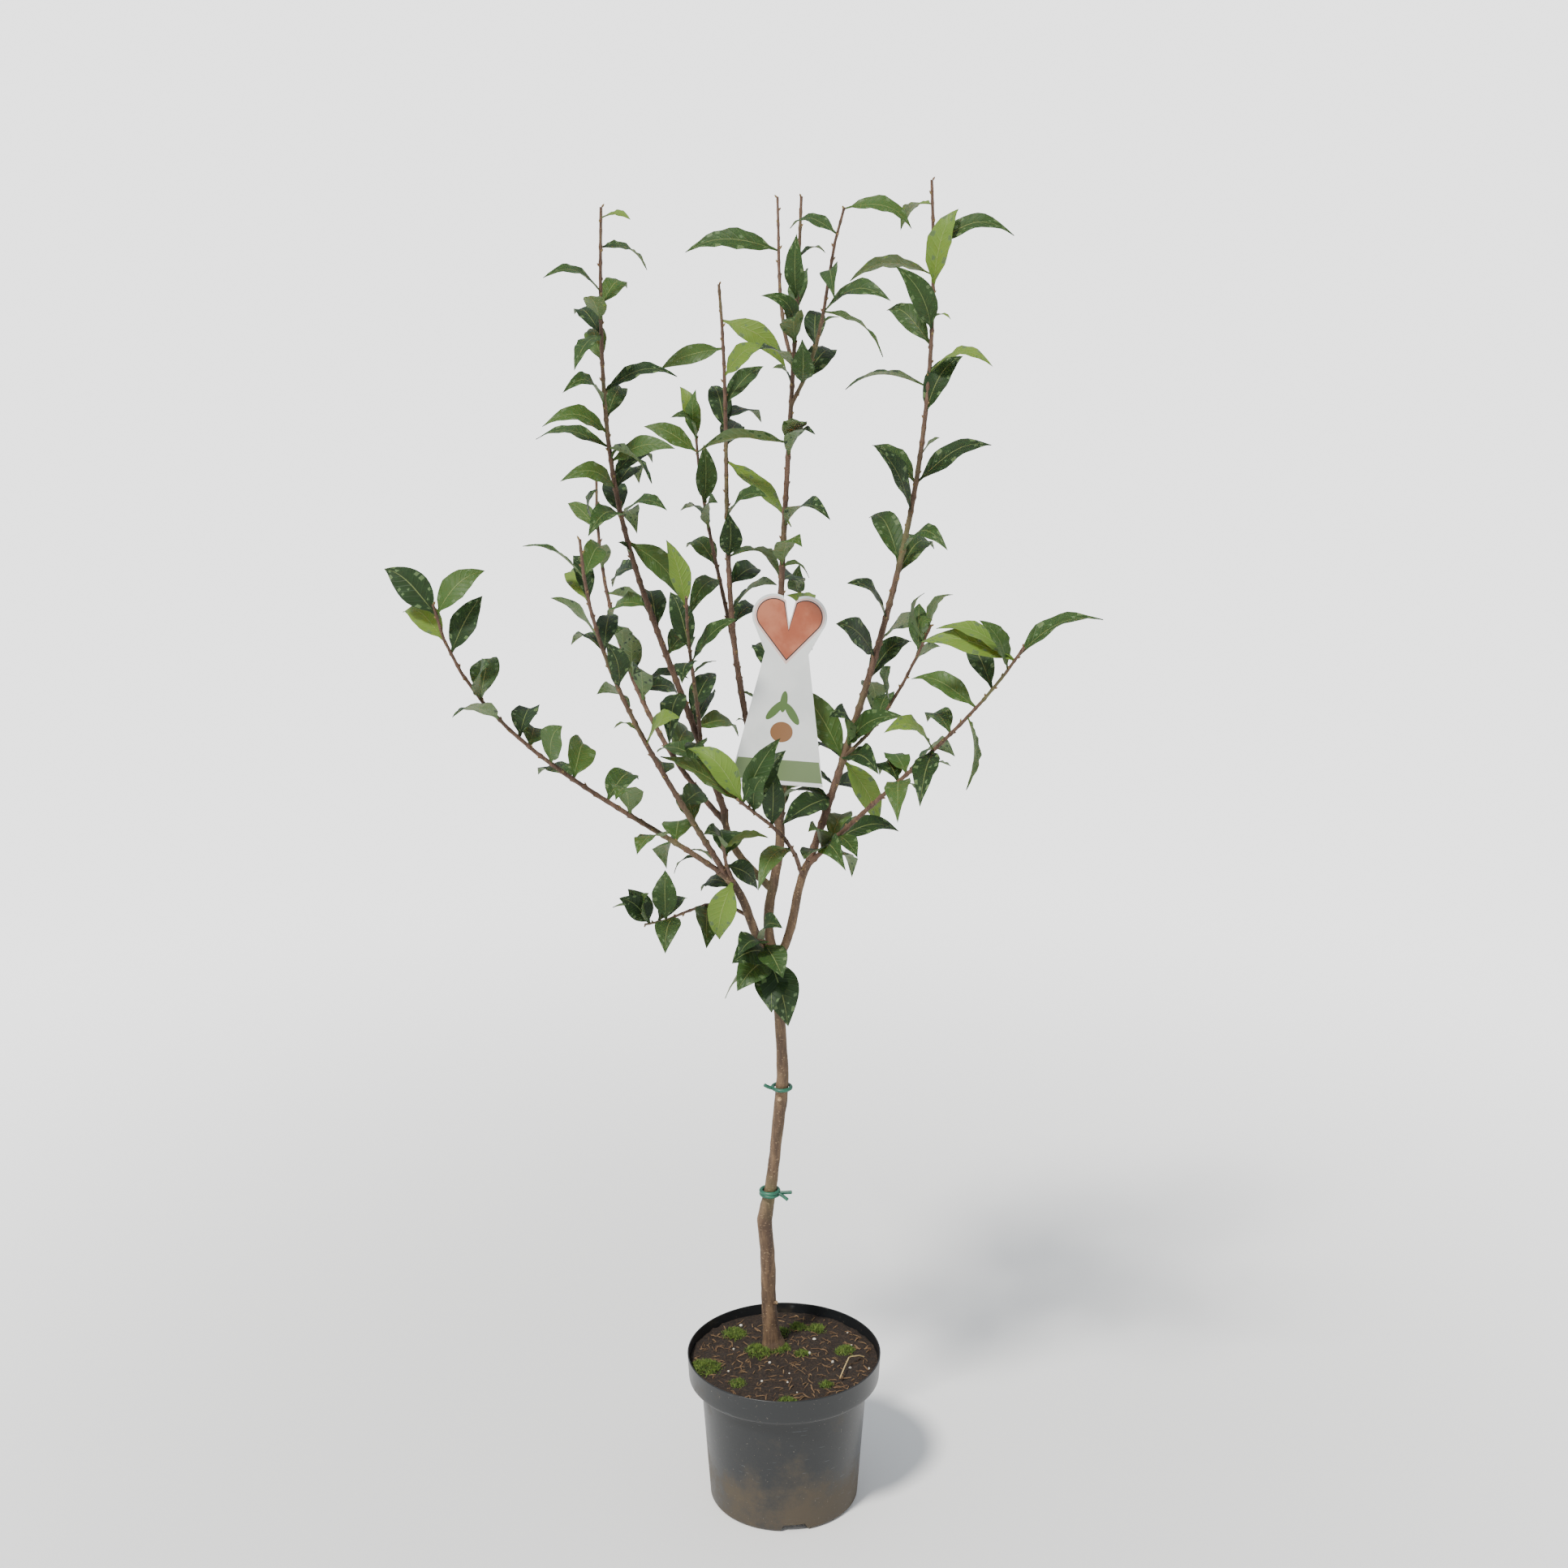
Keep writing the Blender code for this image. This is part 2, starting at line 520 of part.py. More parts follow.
def build_compost():
    soil = make_material("compost", (0.045, 0.030, 0.020), 0.95)
    inset = POT_WALL + GAP
    low = POT_WALL + 0.0012 + GAP
    roof = NOTCH_HEIGHT + POT_WALL + 0.0006
    step = BAND_LOW + POT_WALL + GAP
    profile = [(0.0, low), (0.057, low), (0.0640, roof), (wall_radius(roof, inset) - 0.003, roof + 0.001),
               (wall_radius(roof + 0.006, inset), roof + 0.006), (wall_radius(step, inset), step - 0.0003),
               (wall_radius(step, inset), step), (band_radius(step, inset) - 0.0004, step + 0.0016),
               (band_radius(COMPOST_TOP, inset) - 0.0002, COMPOST_TOP - 0.0015),
               (0.085, COMPOST_TOP), (0.0, COMPOST_TOP)]
    compost = turned("compost", profile, soil)
    face_outwards(compost)
    finish(compost, soil)


# Leaves

def leaf_words(buds):
    bud = 0
    for word in buds.split():
        if word == ".":
            bud += 1
        elif word.isdigit():
            bud += int(word)
        else:
            for k in range(0, len(word), 2):
                yield bud, word[k], (int(word[k + 1]) or 10) / 100
            bud += 1


def sight_frame(point):
    sight = unit(point - EYE)
    right = unit(np.cross(sight, UP))
    return sight, right, np.cross(right, sight)


def leaf_outline(t, width):
    # half width: a thin stalk, then a blade widest before its middle and pointed at its tip
    blade = np.clip((t - PETIOLE_SHARE) / (1 - PETIOLE_SHARE), 0, 1)
    half = 0.5 * width * np.sin(math.pi * blade**0.85) * (1.06 - 0.16 * blade)
    return np.maximum(half, PETIOLE_HALF_WIDTH * (1 - t))


def leaf_lines(base, letter, shown, life, lean, draws, ratio, t):
    # middle line, cross direction, face direction, half widths and length of one leaf
    side, turn, share = lean
    sight, right, high = sight_frame(base)
    bearing = math.radians(15 * (ord(letter.lower()) - ord("a")) + turn)
    away = min(math.sqrt(max(life**2 - shown**2, 0.0)), LEAF_AWAY_MOST) * share * side
    away += 0.006 * (draws[4] - 0.5)
    chord = (right * math.sin(bearing) + high * math.cos(bearing)) * shown + sight * away
    length = np.linalg.norm(chord)
    along = chord / length
    if letter.isupper():
        face = 0.65 * UP - 0.75 * sight
    else:
        face = np.cross(along, sight)
        face *= 1.0 if face[2] >= 0 else -1.0
    face = unit(face - along * np.dot(face, along))
    roll = math.radians(ROLL_DEGREES) * (2 * draws[0] - 1)
    face = math.cos(roll) * face + math.sin(roll) * np.cross(along, face)
    lift = UP - along * UP.dot(along)
    bow = unit(0.8 * face + 0.7 * lift)
    arch = length * (ARCH_RANGE[0] + (ARCH_RANGE[1] - ARCH_RANGE[0]) * draws[1])
    rise = 4 * t * (1 - t) * (0.75 + 0.5 * t)
    slope = 4 * (1 - 2 * t) * (0.75 + 0.5 * t) + 2 * t * (1 - t)
    middle = base + chord * t[:, None] + bow * (arch * rise)[:, None]
    tangent = chord + bow * (arch * slope)[:, None]
    tangent /= np.linalg.norm(tangent, axis=1)[:, None]
    faces = face - tangent * (tangent @ face)[:, None]
    faces /= np.linalg.norm(faces, axis=1)[:, None]
    across = np.cross(tangent, faces)
    twist = (math.radians(TWIST_DEGREES) * (2 * draws[2] - 1) * t)[:, None]
    faces, across = (np.cos(twist) * faces + np.sin(twist) * across,
                     np.cos(twist) * across - np.sin(twist) * faces)
    width = ratio * max(length, 0.75 * life) * (0.92 + 0.16 * draws[3])
    return middle, across, faces, leaf_outline(t, width), length


def feelers(lines):
    # points spread over the blade, to feel for neighbours
    middle, across, _, half, _ = lines
    edge = across * (0.85 * half)[:, None]
    return np.concatenate((middle - edge, middle, middle + edge))


def nearest(points, others):
    if not len(others):
        return 1.0
    return math.sqrt(((points[:, None] - others[None]) ** 2).sum(axis=2).min())


class Surroundings:
    # what a leaf must keep clear of: limbs, other leaves and the card, each with its mass
    def __init__(self):
        self.limbs = []
        self.leaves = []

    def add_limb(self, mass, limb):
        dense = even_line(limb.points, 0.004)
        self.limbs.append((mass, dense, float(limb.radii.max())))

    def add_leaf(self, mass, points):
        self.leaves.append((mass, points, points.mean(axis=0)))

    def clear(self, mass, points, own_too):
        centre = points.mean(axis=0)
        for owner, dense, radius in self.limbs:
            if owner == mass and not own_too:
                continue
            near = dense[np.linalg.norm(dense - centre, axis=1) < 0.11]
            if nearest(points, near) < radius + ROOM_TO_LIMB:
                return False
        for owner, others, middle in self.leaves:
            if owner == mass and not own_too:
                continue
            if np.linalg.norm(middle - centre) > 0.12:
                continue
            if nearest(points, others) < (ROOM_TO_OWN if owner == mass else ROOM_TO_OTHERS):
                return False
        return True


def place_leaves(spec, shoot, around):
    rng = np.random.default_rng(spec["seed"])
    line = even_line(shoot.points, 0.003)
    lengths = np.r_[0.0, np.cumsum(np.linalg.norm(np.diff(line, axis=0), axis=1))]
    ratio = spec.get("ratio", LEAF_RATIO)
    placed = []
    for bud, letter, shown in leaf_words(spec["buds"]):
        draws = rng.random(6)
        where = min(bud * BUD_STEP, lengths[-1] - 0.001)
        base = np.array([np.interp(where, lengths, line[:, k]) for k in range(3)])
        life = spec["leaf"] * (1 - 0.30 * (where / lengths[-1]) ** 2) * (0.92 + 0.16 * draws[5])
        if letter.islower() and shown < 0.035:
            life = 1.3 * shown
        first_side = 1 if draws[4] > 0.5 else -1
        for own_too in (True, False):
            found = None
            for side, turn, share in LEANS:
                lean = (side * first_side, turn, share)
                trial = leaf_lines(base, letter, shown, life, lean, draws, ratio, FEELER_STATIONS)
                if around.clear(spec["mass"], feelers(trial), own_too):
                    found = lean
                    break
            if found:
                break
        if not found:
            continue
        around.add_leaf(spec["mass"], feelers(trial))
        placed.append((base, letter, shown, life, found, draws, ratio))
    return placed


def leaf_solid(leaf):
    # closed blade with a flat upper face and a keel under its middle, its root in the twig's core. Each
    # section is left edge, middle, right edge, keel, and upper and lower faces are split the same way.
    middle, across, faces, half, length = leaf_lines(*leaf, SOLID_STATIONS)
    keel = np.maximum(LEAF_KEEL * length * np.sin(math.pi * np.clip(SOLID_STATIONS, 0.12, 1)), 0.0009)
    vertices = []
    for k in range(len(SOLID_STATIONS) - 1):
        edge = across[k] * half[k]
        vertices += [middle[k] - edge, middle[k], middle[k] + edge, middle[k] - faces[k] * keel[k]]
    vertices.append(middle[-1])
    triangles = [(0, 3, 1), (1, 3, 2)]
    for ring in range(0, len(vertices) - 5, 4):
        for i in range(4):
            j = (i + 1) % 4
            here, after = ring + i, ring + j
            if i % 2:
                triangles += [(here, here + 4, after), (here + 4, after + 4, after)]
            else:
                triangles += [(here, here + 4, after + 4), (here, after + 4, after)]
    last = len(vertices) - 5
    tip = len(vertices) - 1
    triangles += [(last + i, tip, last + (i + 1) % 4) for i in range(4)]
    blade = make_object("leaf", vertices, triangles)
    face_outwards(blade)
    return blade


# Name card

def card_outline():
    # half outline from the foot of the notch round the lobe to the foot, as (across, down)
    centre = np.array((CARD_LOBE_OFFSET, CARD_LOBE_RADIUS))
    lobe = []
    for angle in np.radians(np.linspace(112, -32, 13)):
        lobe.append(centre + CARD_LOBE_RADIUS * np.array((math.cos(angle), -math.sin(angle))))
    return lobe + [np.array(CARD_WAIST), np.array((CARD_FOOT_HALF, CARD_HEIGHT))]


def card_frame():
    turn = math.radians(CARD_TURN)
    tilt = math.radians(CARD_TILT)
    across = np.array((math.cos(turn), 0.0, -math.sin(turn)))
    down = np.array((-math.sin(turn) * math.cos(tilt), -math.sin(tilt), -math.cos(turn) * math.cos(tilt)))
    return across, down, np.cross(across, down)


def card_point(across_by, down_by, back_by=0.0):
    across, down, back = card_frame()
    return np.array(CARD_TOP) + across * across_by + down * down_by + back * back_by


def build_card(leader, around):
    plastic = make_material("card_plastic", (0.85, 0.86, 0.85), 0.35)
    half = card_outline()
    outline = [(0.0, CARD_NOTCH_DEPTH)] + [tuple(p) for p in half] + [(-p[0], p[1]) for p in half[::-1]]
    count = len(outline)
    vertices = [card_point(u, w, -s * CARD_THICKNESS / 2) for s in (1, -1) for u, w in outline]
    faces = [tuple(range(count)), tuple(range(2 * count - 1, count - 1, -1))]
    for k in range(count):
        after = (k + 1) % count
        faces.append((k, k + count, after + count, after))
    card = make_object("name_card", vertices, faces)
    face_outwards(card)
    around.add_leaf("name_card", np.array([card_point(u * wide, w) for w in np.linspace(0.01, CARD_HEIGHT, 24)
                                           for u, wide in ((s, card_half(w)) for s in np.linspace(-1, 1, 9))]))
    apply_boolean(card, "UNION", [card_loop(leader)])
    keep_main_body(card)
    finish(card, plastic)


def card_half(down):
    waist, waist_down = CARD_WAIST
    if down > waist_down:
        return waist + (CARD_FOOT_HALF - waist) * (down - waist_down) / (CARD_HEIGHT - waist_down)
    return CARD_LOBE_RADIUS + CARD_LOBE_OFFSET


def card_loop(leader):
    # ring round the leader that bites into the back of the card
    level = card_point(0.0, CARD_LOOP_DROP)[2]
    k = int(np.argmin(np.abs(leader.points[:, 2] - level)))
    t = (level - leader.points[k - 1, 2]) / (leader.points[k + 1, 2] - leader.points[k - 1, 2])
    centre = leader.points[k - 1] + (leader.points[k + 1] - leader.points[k - 1]) * t
    stem = leader.radii[k - 1] + (leader.radii[k + 1] - leader.radii[k - 1]) * t
    axis = unit(leader.points[k + 1] - leader.points[k - 1])
    front = unit(np.cross(np.cross(axis, (0.0, -1.0, 0.0)), axis))
    side = np.cross(axis, front)
    ring = stem + GAP + CARD_LOOP_WIRE
    reach = np.dot(card_point(0.0, CARD_LOOP_DROP) - centre, front)
    vertices = []
    turns = 16
    sides = 6
    for k in range(turns):
        angle = 2 * math.pi * k / turns
        out = front * math.cos(angle) * (reach if math.cos(angle) > 0.9 else ring) + side * math.sin(angle) * ring
        outward = unit(out)
        for j in range(sides):
            turn = 2 * math.pi * j / sides
            vertices.append(centre + out + CARD_LOOP_WIRE * (outward * math.cos(turn) + axis * math.sin(turn)))
    faces = []
    for k in range(turns):
        for j in range(sides):
            a = k * sides + j
            b = k * sides + (j + 1) % sides
            c = ((k + 1) % turns) * sides + (j + 1) % sides
            d = ((k + 1) % turns) * sides + j
            faces.append((a, b, c, d))
    loop = make_object("loop", vertices, faces)
    face_outwards(loop)
    return loop


# Ties

def build_tie(spec, trunk):
    rubber = make_material(spec["name"] + "_tube", (0.02, 0.10, 0.055), 0.4)
    heights = trunk.points[:, 2]
    centre = np.array([np.interp(spec["height"], heights, trunk.points[:, k]) for k in range(3)])
    around_trunk = float(np.interp(spec["height"], heights, trunk.radii)) + GAP + TIE_RADIUS + 0.0007
    pieces = []
    for turn in range(spec["turns"]):
        level = (turn - (spec["turns"] - 1) / 2) * 1.7 * TIE_RADIUS
        pieces.append(tie_ring(centre + UP * level, around_trunk))
    for heading, length, rise in spec["tails"]:
        angle = math.radians(heading)
        out = np.array((math.cos(angle), math.sin(angle), 0.0))
        root = centre + out * around_trunk
        end = root + out * length + UP * rise
        line = np.linspace(root, end, 4)
        pieces.append(make_object("tail", *tube_mesh(line, np.full(4, TIE_RADIUS * 0.96), 6)))
    first, rest = pieces[0], pieces[1:]
    first.name = spec["name"]
    apply_boolean(first, "UNION", rest)
    keep_main_body(first)
    finish(first, rubber)


def tie_ring(centre, ring):
    sides = 6
    turns = 14
    vertices = []
    for k in range(turns):
        angle = 2 * math.pi * k / turns
        out = np.array((math.cos(angle), math.sin(angle), 0.0))
        for j in range(sides):
            turn = 2 * math.pi * j / sides
            vertices.append(centre + out * (ring + TIE_RADIUS * math.cos(turn)) + UP * TIE_RADIUS * math.sin(turn))
    faces = []
    for k in range(turns):
        for j in range(sides):
            a = k * sides + j
            b = k * sides + (j + 1) % sides
            c = ((k + 1) % turns) * sides + (j + 1) % sides
            d = ((k + 1) % turns) * sides + j
            faces.append((a, b, c, d))
    tie = make_object("ring", vertices, faces)
    face_outwards(tie)
    return tie


# Trunk, boughs and shoots

def build_trunk():
    bark = make_material("trunk_bark", (0.165, 0.105, 0.060), 0.85)
    rows = smooth_levels(TRUNK_LEVELS, TRUNK_RING_STEP)
    points = rows[:, (1, 2, 0)]
    trunk = Limb("trunk", points, rows[:, 3] / 2, TRUNK_SIDES, level=True)
    thing = make_object("trunk", *trunk.mesh())
    stubs = []
    for height, heading, length, width in PRUNING_STUBS:
        middle = np.array([np.interp(height, rows[:, 0], points[:, k]) for k in range(3)])
        angle = math.radians(heading)
        out = unit(np.array((math.cos(angle), math.sin(angle), 0.45)))
        line = np.linspace(middle, middle + out * length, 3)
        stubs.append(make_object("stub", *tube_mesh(line, np.array((1.15, 1.0, 0.85)) * width / 2, 8)))
    apply_boolean(thing, "UNION", stubs)
    keep_main_body(thing)
    finish(thing, bark)
    return trunk


def level_tube(points, radii, sides):
    # tube with level rings, so that its foot is a flat cut
    vertices = []
    for (x, y, z), radius in zip(points, radii):
        for k in range(sides):
            angle = 2 * math.pi * k / sides
            vertices.append((x + radius * math.cos(angle), y + radius * math.sin(angle), z))
    faces = []
    for row in range(len(points) - 1):
        for k in range(sides):
            a = row * sides + k
            b = row * sides + (k + 1) % sides
            faces.append((a, b, b + sides, a + sides))
    faces.append(tuple(range(sides))[::-1])
    last = (len(points) - 1) * sides
    faces.append(tuple(range(last, last + sides)))
    return vertices, faces


def build_boughs(limbs, around):
    for spec in BOUGHS:
        limb = limb_from(spec, limbs[spec["grows_from"][0]], BOUGH_SIDES, 0.012)
        limbs[spec["name"]] = limb
        bark = make_material(spec["name"] + "_bark", (0.130, 0.085, 0.052), 0.85)
        thing = make_object(spec["name"], *limb.mesh())
        cut_back(thing, [limbs[name] for name in spec["clear_of"]])
        keep_main_body(thing)
        finish(thing, bark)
        around.add_limb(spec["name"], limb)


def build_shoots(limbs, around):
    for spec in SHOOTS:
        limb = limb_from(spec, limbs[spec["grows_from"][0]], SHOOT_SIDES, SHOOT_RING_STEP)
        limbs[spec["name"]] = limb
        around.add_limb(spec["mass"], limb)
    build_card(limbs["leader_shoot"], around)
    leaves = {spec["name"]: place_leaves(spec, limbs[spec["name"]], around) for spec in SHOOTS}
    for mass in dict.fromkeys(spec["mass"] for spec in SHOOTS):
        green = make_material(mass + "_leaf", (0.060, 0.120, 0.030), 0.55)
        members = [spec for spec in SHOOTS if spec["mass"] == mass]
        stem, *twigs = [make_object(spec["name"], *limbs[spec["name"]].mesh()) for spec in members]
        blades = [leaf_solid(leaf) for spec in members for leaf in leaves[spec["name"]]]
        apply_boolean(stem, "UNION", twigs + blades, "MANIFOLD")
        cut_back(stem, [limbs[name] for name in members[0]["clear_of"]], "MANIFOLD")
        keep_main_body(stem)
        stem.name = mass
        finish(stem, green)
        total = sum(len(leaves[spec["name"]]) for spec in members)
        print(f"{mass}: {total} leaves, {len(stem.data.polygons)} faces")


def main():
    clear_scene()
    build_pot()
    build_compost()
    around = Surroundings()
    trunk = build_trunk()
    limbs = {"trunk": trunk}
    around.add_limb("trunk", trunk)
    for spec in TIES:
        build_tie(spec, trunk)
    build_boughs(limbs, around)
    build_shoots(limbs, around)


main()
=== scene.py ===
# Young medlar tree in its round nursery pot: the looks, in metres, +Z up, front towards -Y.
import math

import bpy
import numpy as np
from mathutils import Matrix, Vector, noise


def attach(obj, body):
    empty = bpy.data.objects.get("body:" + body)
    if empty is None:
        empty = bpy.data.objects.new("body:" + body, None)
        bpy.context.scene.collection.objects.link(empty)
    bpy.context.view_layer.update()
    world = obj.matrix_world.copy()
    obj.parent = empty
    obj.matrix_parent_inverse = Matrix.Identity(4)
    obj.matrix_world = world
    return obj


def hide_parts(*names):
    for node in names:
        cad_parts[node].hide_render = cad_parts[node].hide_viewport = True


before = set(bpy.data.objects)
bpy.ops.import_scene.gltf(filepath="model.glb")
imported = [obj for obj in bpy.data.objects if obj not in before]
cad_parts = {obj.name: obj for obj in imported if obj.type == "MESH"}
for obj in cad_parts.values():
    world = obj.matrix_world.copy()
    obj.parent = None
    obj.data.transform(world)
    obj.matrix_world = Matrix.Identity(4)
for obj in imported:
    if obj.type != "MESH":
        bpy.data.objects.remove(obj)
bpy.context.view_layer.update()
up = np.array((0.0, 0.0, 1.0))
gap = 0.0003  # left between parts that touch

# The front view. The letters in the tables of shoots are read across this line of sight.
viewPlan = dict(eye=(0.0, -2.5, 1.64), pitchDown=16.5, lens=53.74, sensor=36)
eye = np.array(viewPlan["eye"])


# Lines, rings and faces

def unit(vector):
    return vector / np.linalg.norm(vector)


def lengthsAlong(points):
    # length of the line up to each of its points
    return np.r_[0.0, np.cumsum(np.linalg.norm(np.diff(points, axis=0), axis=1))]


def pointWhere(value, scale, points):
    # the point of a line at which its scale, such as length or height, has the value
    return np.array([np.interp(value, scale, points[:, k]) for k in range(3)])


def bentLine(foot, knees, tip, count):
    # cubic curve from the foot to the tip, pulled towards the two knees
    t = np.linspace(0.0, 1.0, count)[:, None]
    p0, p1, p2, p3 = (np.array(p, float) for p in (foot, *knees, tip))
    return (1 - t) ** 3 * p0 + 3 * (1 - t) ** 2 * t * p1 + 3 * (1 - t) * t**2 * p2 + t**3 * p3


def evenLine(points, step):
    # the same line with points at an even step along it
    lengths = lengthsAlong(points)
    count = max(2, int(round(lengths[-1] / step)) + 1)
    at = np.linspace(0.0, lengths[-1], count)
    return np.stack([np.interp(at, lengths, points[:, k]) for k in range(3)], axis=1)


def smoothLevels(levels, step):
    # Catmull-Rom curve through the levels, read at an even step of height
    rows = np.array(levels, float)
    padded = np.vstack((2 * rows[0] - rows[1], rows, 2 * rows[-1] - rows[-2]))
    smooth = []
    for k in range(len(rows) - 1):
        a, b, c, d = padded[k:k + 4]
        count = max(1, int(round((c[0] - b[0]) / step)))
        for t in np.arange(count) / count:
            smooth.append(0.5 * (2 * b + (c - a) * t + (2 * a - 5 * b + 4 * c - d) * t**2
                                 + (3 * b - a - 3 * c + d) * t**3))
    smooth.append(rows[-1])
    return np.array(smooth)


def ringFrames(points):
    # two cross directions at each point, carried along without twist
    tangents = np.gradient(points, axis=0)
    tangents /= np.linalg.norm(tangents, axis=1)[:, None]
    sides = [unit(np.cross(tangents[0], (0.0, 1.0, 0.12)))]
    for tangent in tangents[1:]:
        sides.append(unit(sides[-1] - tangent * np.dot(sides[-1], tangent)))
    sides = np.array(sides)
    return tangents, sides, np.cross(tangents, sides)


def gridFaces(rows, columns, closed=False, looped=False):
    # quads of a grid of rows x columns, wrapped across when closed and along when looped
    r = np.arange(rows if looped else rows - 1)[:, None]
    c = np.arange(columns if closed else columns - 1)[None]
    low, high = r * columns, (r + 1) % rows * columns
    after = (c + 1) % columns
    return np.stack((low + c, low + after, high + after, high + c), axis=-1).reshape(-1, 4)


def closedRings(rows, columns):
    # faces of rings that follow each other, with a fan at each end round one of the last two points
    faces = gridFaces(rows, columns, closed=True).tolist()
    low = rows * columns
    last = low - columns
    for k in range(columns):
        after = (k + 1) % columns
        faces += [[low, after, k], [low + 1, last + k, last + after]]
    return faces


def tubeMesh(points, radii, sides):
    # rings of middle + radius (cos a across + sin a over), with a flat cap at either end
    _, across, over = ringFrames(points)
    angles = np.arange(sides) * 2 * math.pi / sides
    rings = (points[:, None] + radii[:, None, None] * (across[:, None] * np.cos(angles)[None, :, None]
                                                       + over[:, None] * np.sin(angles)[None, :, None]))
    faces = gridFaces(len(points), sides, closed=True).tolist()
    faces.append(list(range(sides))[::-1])
    last = (len(points) - 1) * sides
    faces.append(list(range(last, last + sides)))
    return rings.reshape(-1, 3), faces


def joinedMeshes(parts):
    # one list of vertices and faces from several
    vertices = []
    faces = []
    count = 0
    for points, quads in parts:
        vertices.append(points)
        faces += [[int(i) + count for i in quad] for quad in quads]
        count += len(points)
    return np.concatenate(vertices), faces


def noiseAt(points):
    # Blender's noise at each point
    values = [noise.noise(point) for point in points.reshape(-1, 3).tolist()]
    return np.array(values).reshape(points.shape[:-1])


def finishPiece(name, vertices, faces, materials, slotName, uv=None, materialOf=None, smooth=True):
    # a piece in the world frame that rides on the one body, its sides smooth between sharp edges
    mesh = bpy.data.meshes.new(name)
    mesh.from_pydata(np.asarray(vertices).tolist(), [], [tuple(face) for face in faces])
    piece = bpy.data.objects.new(name, mesh)
    bpy.context.scene.collection.objects.link(piece)
    for material in materials:
        mesh.materials.append(material)
    if materialOf is not None:
        mesh.polygons.foreach_set("material_index", np.asarray(materialOf, dtype=np.int32))
    if uv is not None:
        loopVertex = np.empty(len(mesh.loops), dtype=np.int32)
        mesh.loops.foreach_get("vertex_index", loopVertex)
        layer = mesh.uv_layers.new(name="blade")
        layer.data.foreach_set("uv", np.asarray(uv, dtype=np.float32)[loopVertex].ravel())
    if smooth:
        mesh.shade_smooth()
        mesh.set_sharp_from_angle(angle=math.radians(50))
    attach(piece, "root")
    return piece


# Materials

def linear(colour):
    # sRGB hex to the linear values that a shader takes
    channels = [int(colour[k:k + 2], 16) / 255 for k in (1, 3, 5)]
    return [c / 12.92 if c <= 0.04045 else ((c + 0.055) / 1.055) ** 2.4 for c in channels] + [1.0]


def setInputs(tree, node, **values):
    # a link, a value or a hex colour for each input, by name (spaces as underscores) or as inN by place
    for key, value in values.items():
        byPlace = key[:2] == "in" and key[2:].isdigit()
        plug = node.inputs[int(key[2:])] if byPlace else node.inputs[key.replace("_", " ")]
        if isinstance(value, bpy.types.NodeSocket):
            tree.links.new(value, plug)
        else:
            plug.default_value = linear(value) if isinstance(value, str) else value


def addNode(tree, kind, settings=None, **values):
    # one node, with its settings and inputs
    node = tree.nodes.new(kind)
    for key, value in (settings or {}).items():
        setattr(node, key, value)
    setInputs(tree, node, **values)
    return node


def newMaterial(name):
    material = bpy.data.materials.new(name)
    material.use_nodes = True
    return material, material.node_tree, material.node_tree.nodes["Principled BSDF"]


def mixed(tree, share, first, second):
    # first colour where the share is 0, second where it is 1
    return addNode(tree, "ShaderNodeMix", dict(data_type="RGBA"), in0=share, in6=first, in7=second).outputs[2]


def maths(tree, operation, first, second=0.0):
    return addNode(tree, "ShaderNodeMath", dict(operation=operation), in0=first, in1=second).outputs[0]


def stepped(tree, value, low, high):
    # 0 below low, 1 above high, smooth between
    return addNode(tree, "ShaderNodeMapRange", dict(interpolation_type="SMOOTHSTEP"), Value=value,
                   From_Min=low, From_Max=high).outputs[0]


def spots(tree, scale, detail=4.0, roughness=0.6, stretch=(1, 1, 1)):
    # noise in object coordinates, scale in patterns per metre: 330 gives crumbs of 3 mm
    place = addNode(tree, "ShaderNodeTexCoord").outputs["Object"]
    stretched = addNode(tree, "ShaderNodeMapping", Vector=place, Scale=stretch).outputs[0]
    return addNode(tree, "ShaderNodeTexNoise", Vector=stretched, Scale=scale, Detail=detail,
                   Roughness=roughness).outputs[0]


def bump(tree, shader, height, distance, strength):
    node = addNode(tree, "ShaderNodeBump", Strength=strength, Distance=distance, Height=height)
    tree.links.new(node.outputs[0], shader.inputs["Normal"])


def plainMaterial(name, colour, roughness, second=None, scale=60, low=0.4, high=0.65):
    # one colour clouded by a second, with a fine uneven surface
    material, tree, shader = newMaterial(name)
    cloud = stepped(tree, spots(tree, scale, 5.0), low, high)
    setInputs(tree, shader, Base_Color=mixed(tree, cloud, colour, second or colour), Roughness=roughness)
    bump(tree, shader, spots(tree, scale * 6, 3.0), 0.0003, 0.5)
    return material


def barkMaterial(name, colour, dark, tint, scale):
    # thin bark, matt: streaks along the stem, pale pores and a greenish film of algae
    material, tree, shader = newMaterial(name)
    streaks = spots(tree, scale, 6.0, 0.65, (1, 1, 0.22))
    pores = spots(tree, scale * 3.2, 2.0, 0.5, (1, 1, 1.7))
    film = spots(tree, 9, 3.0)
    base = mixed(tree, stepped(tree, streaks, 0.35, 0.68), dark, colour)
    filmed = mixed(tree, maths(tree, "MULTIPLY", stepped(tree, film, 0.50, 0.72), 0.45), base, tint)
    pored = mixed(tree, maths(tree, "MULTIPLY", stepped(tree, pores, 0.62, 0.70), 0.6), filmed, "#a48a6a")
    setInputs(tree, shader, Base_Color=pored, Roughness=0.74)
    bump(tree, shader, maths(tree, "ADD", streaks, maths(tree, "MULTIPLY", pores, 0.5)), 0.0011, 0.8)
    return material


# Limbs: the middle lines of trunk, boughs and shoots

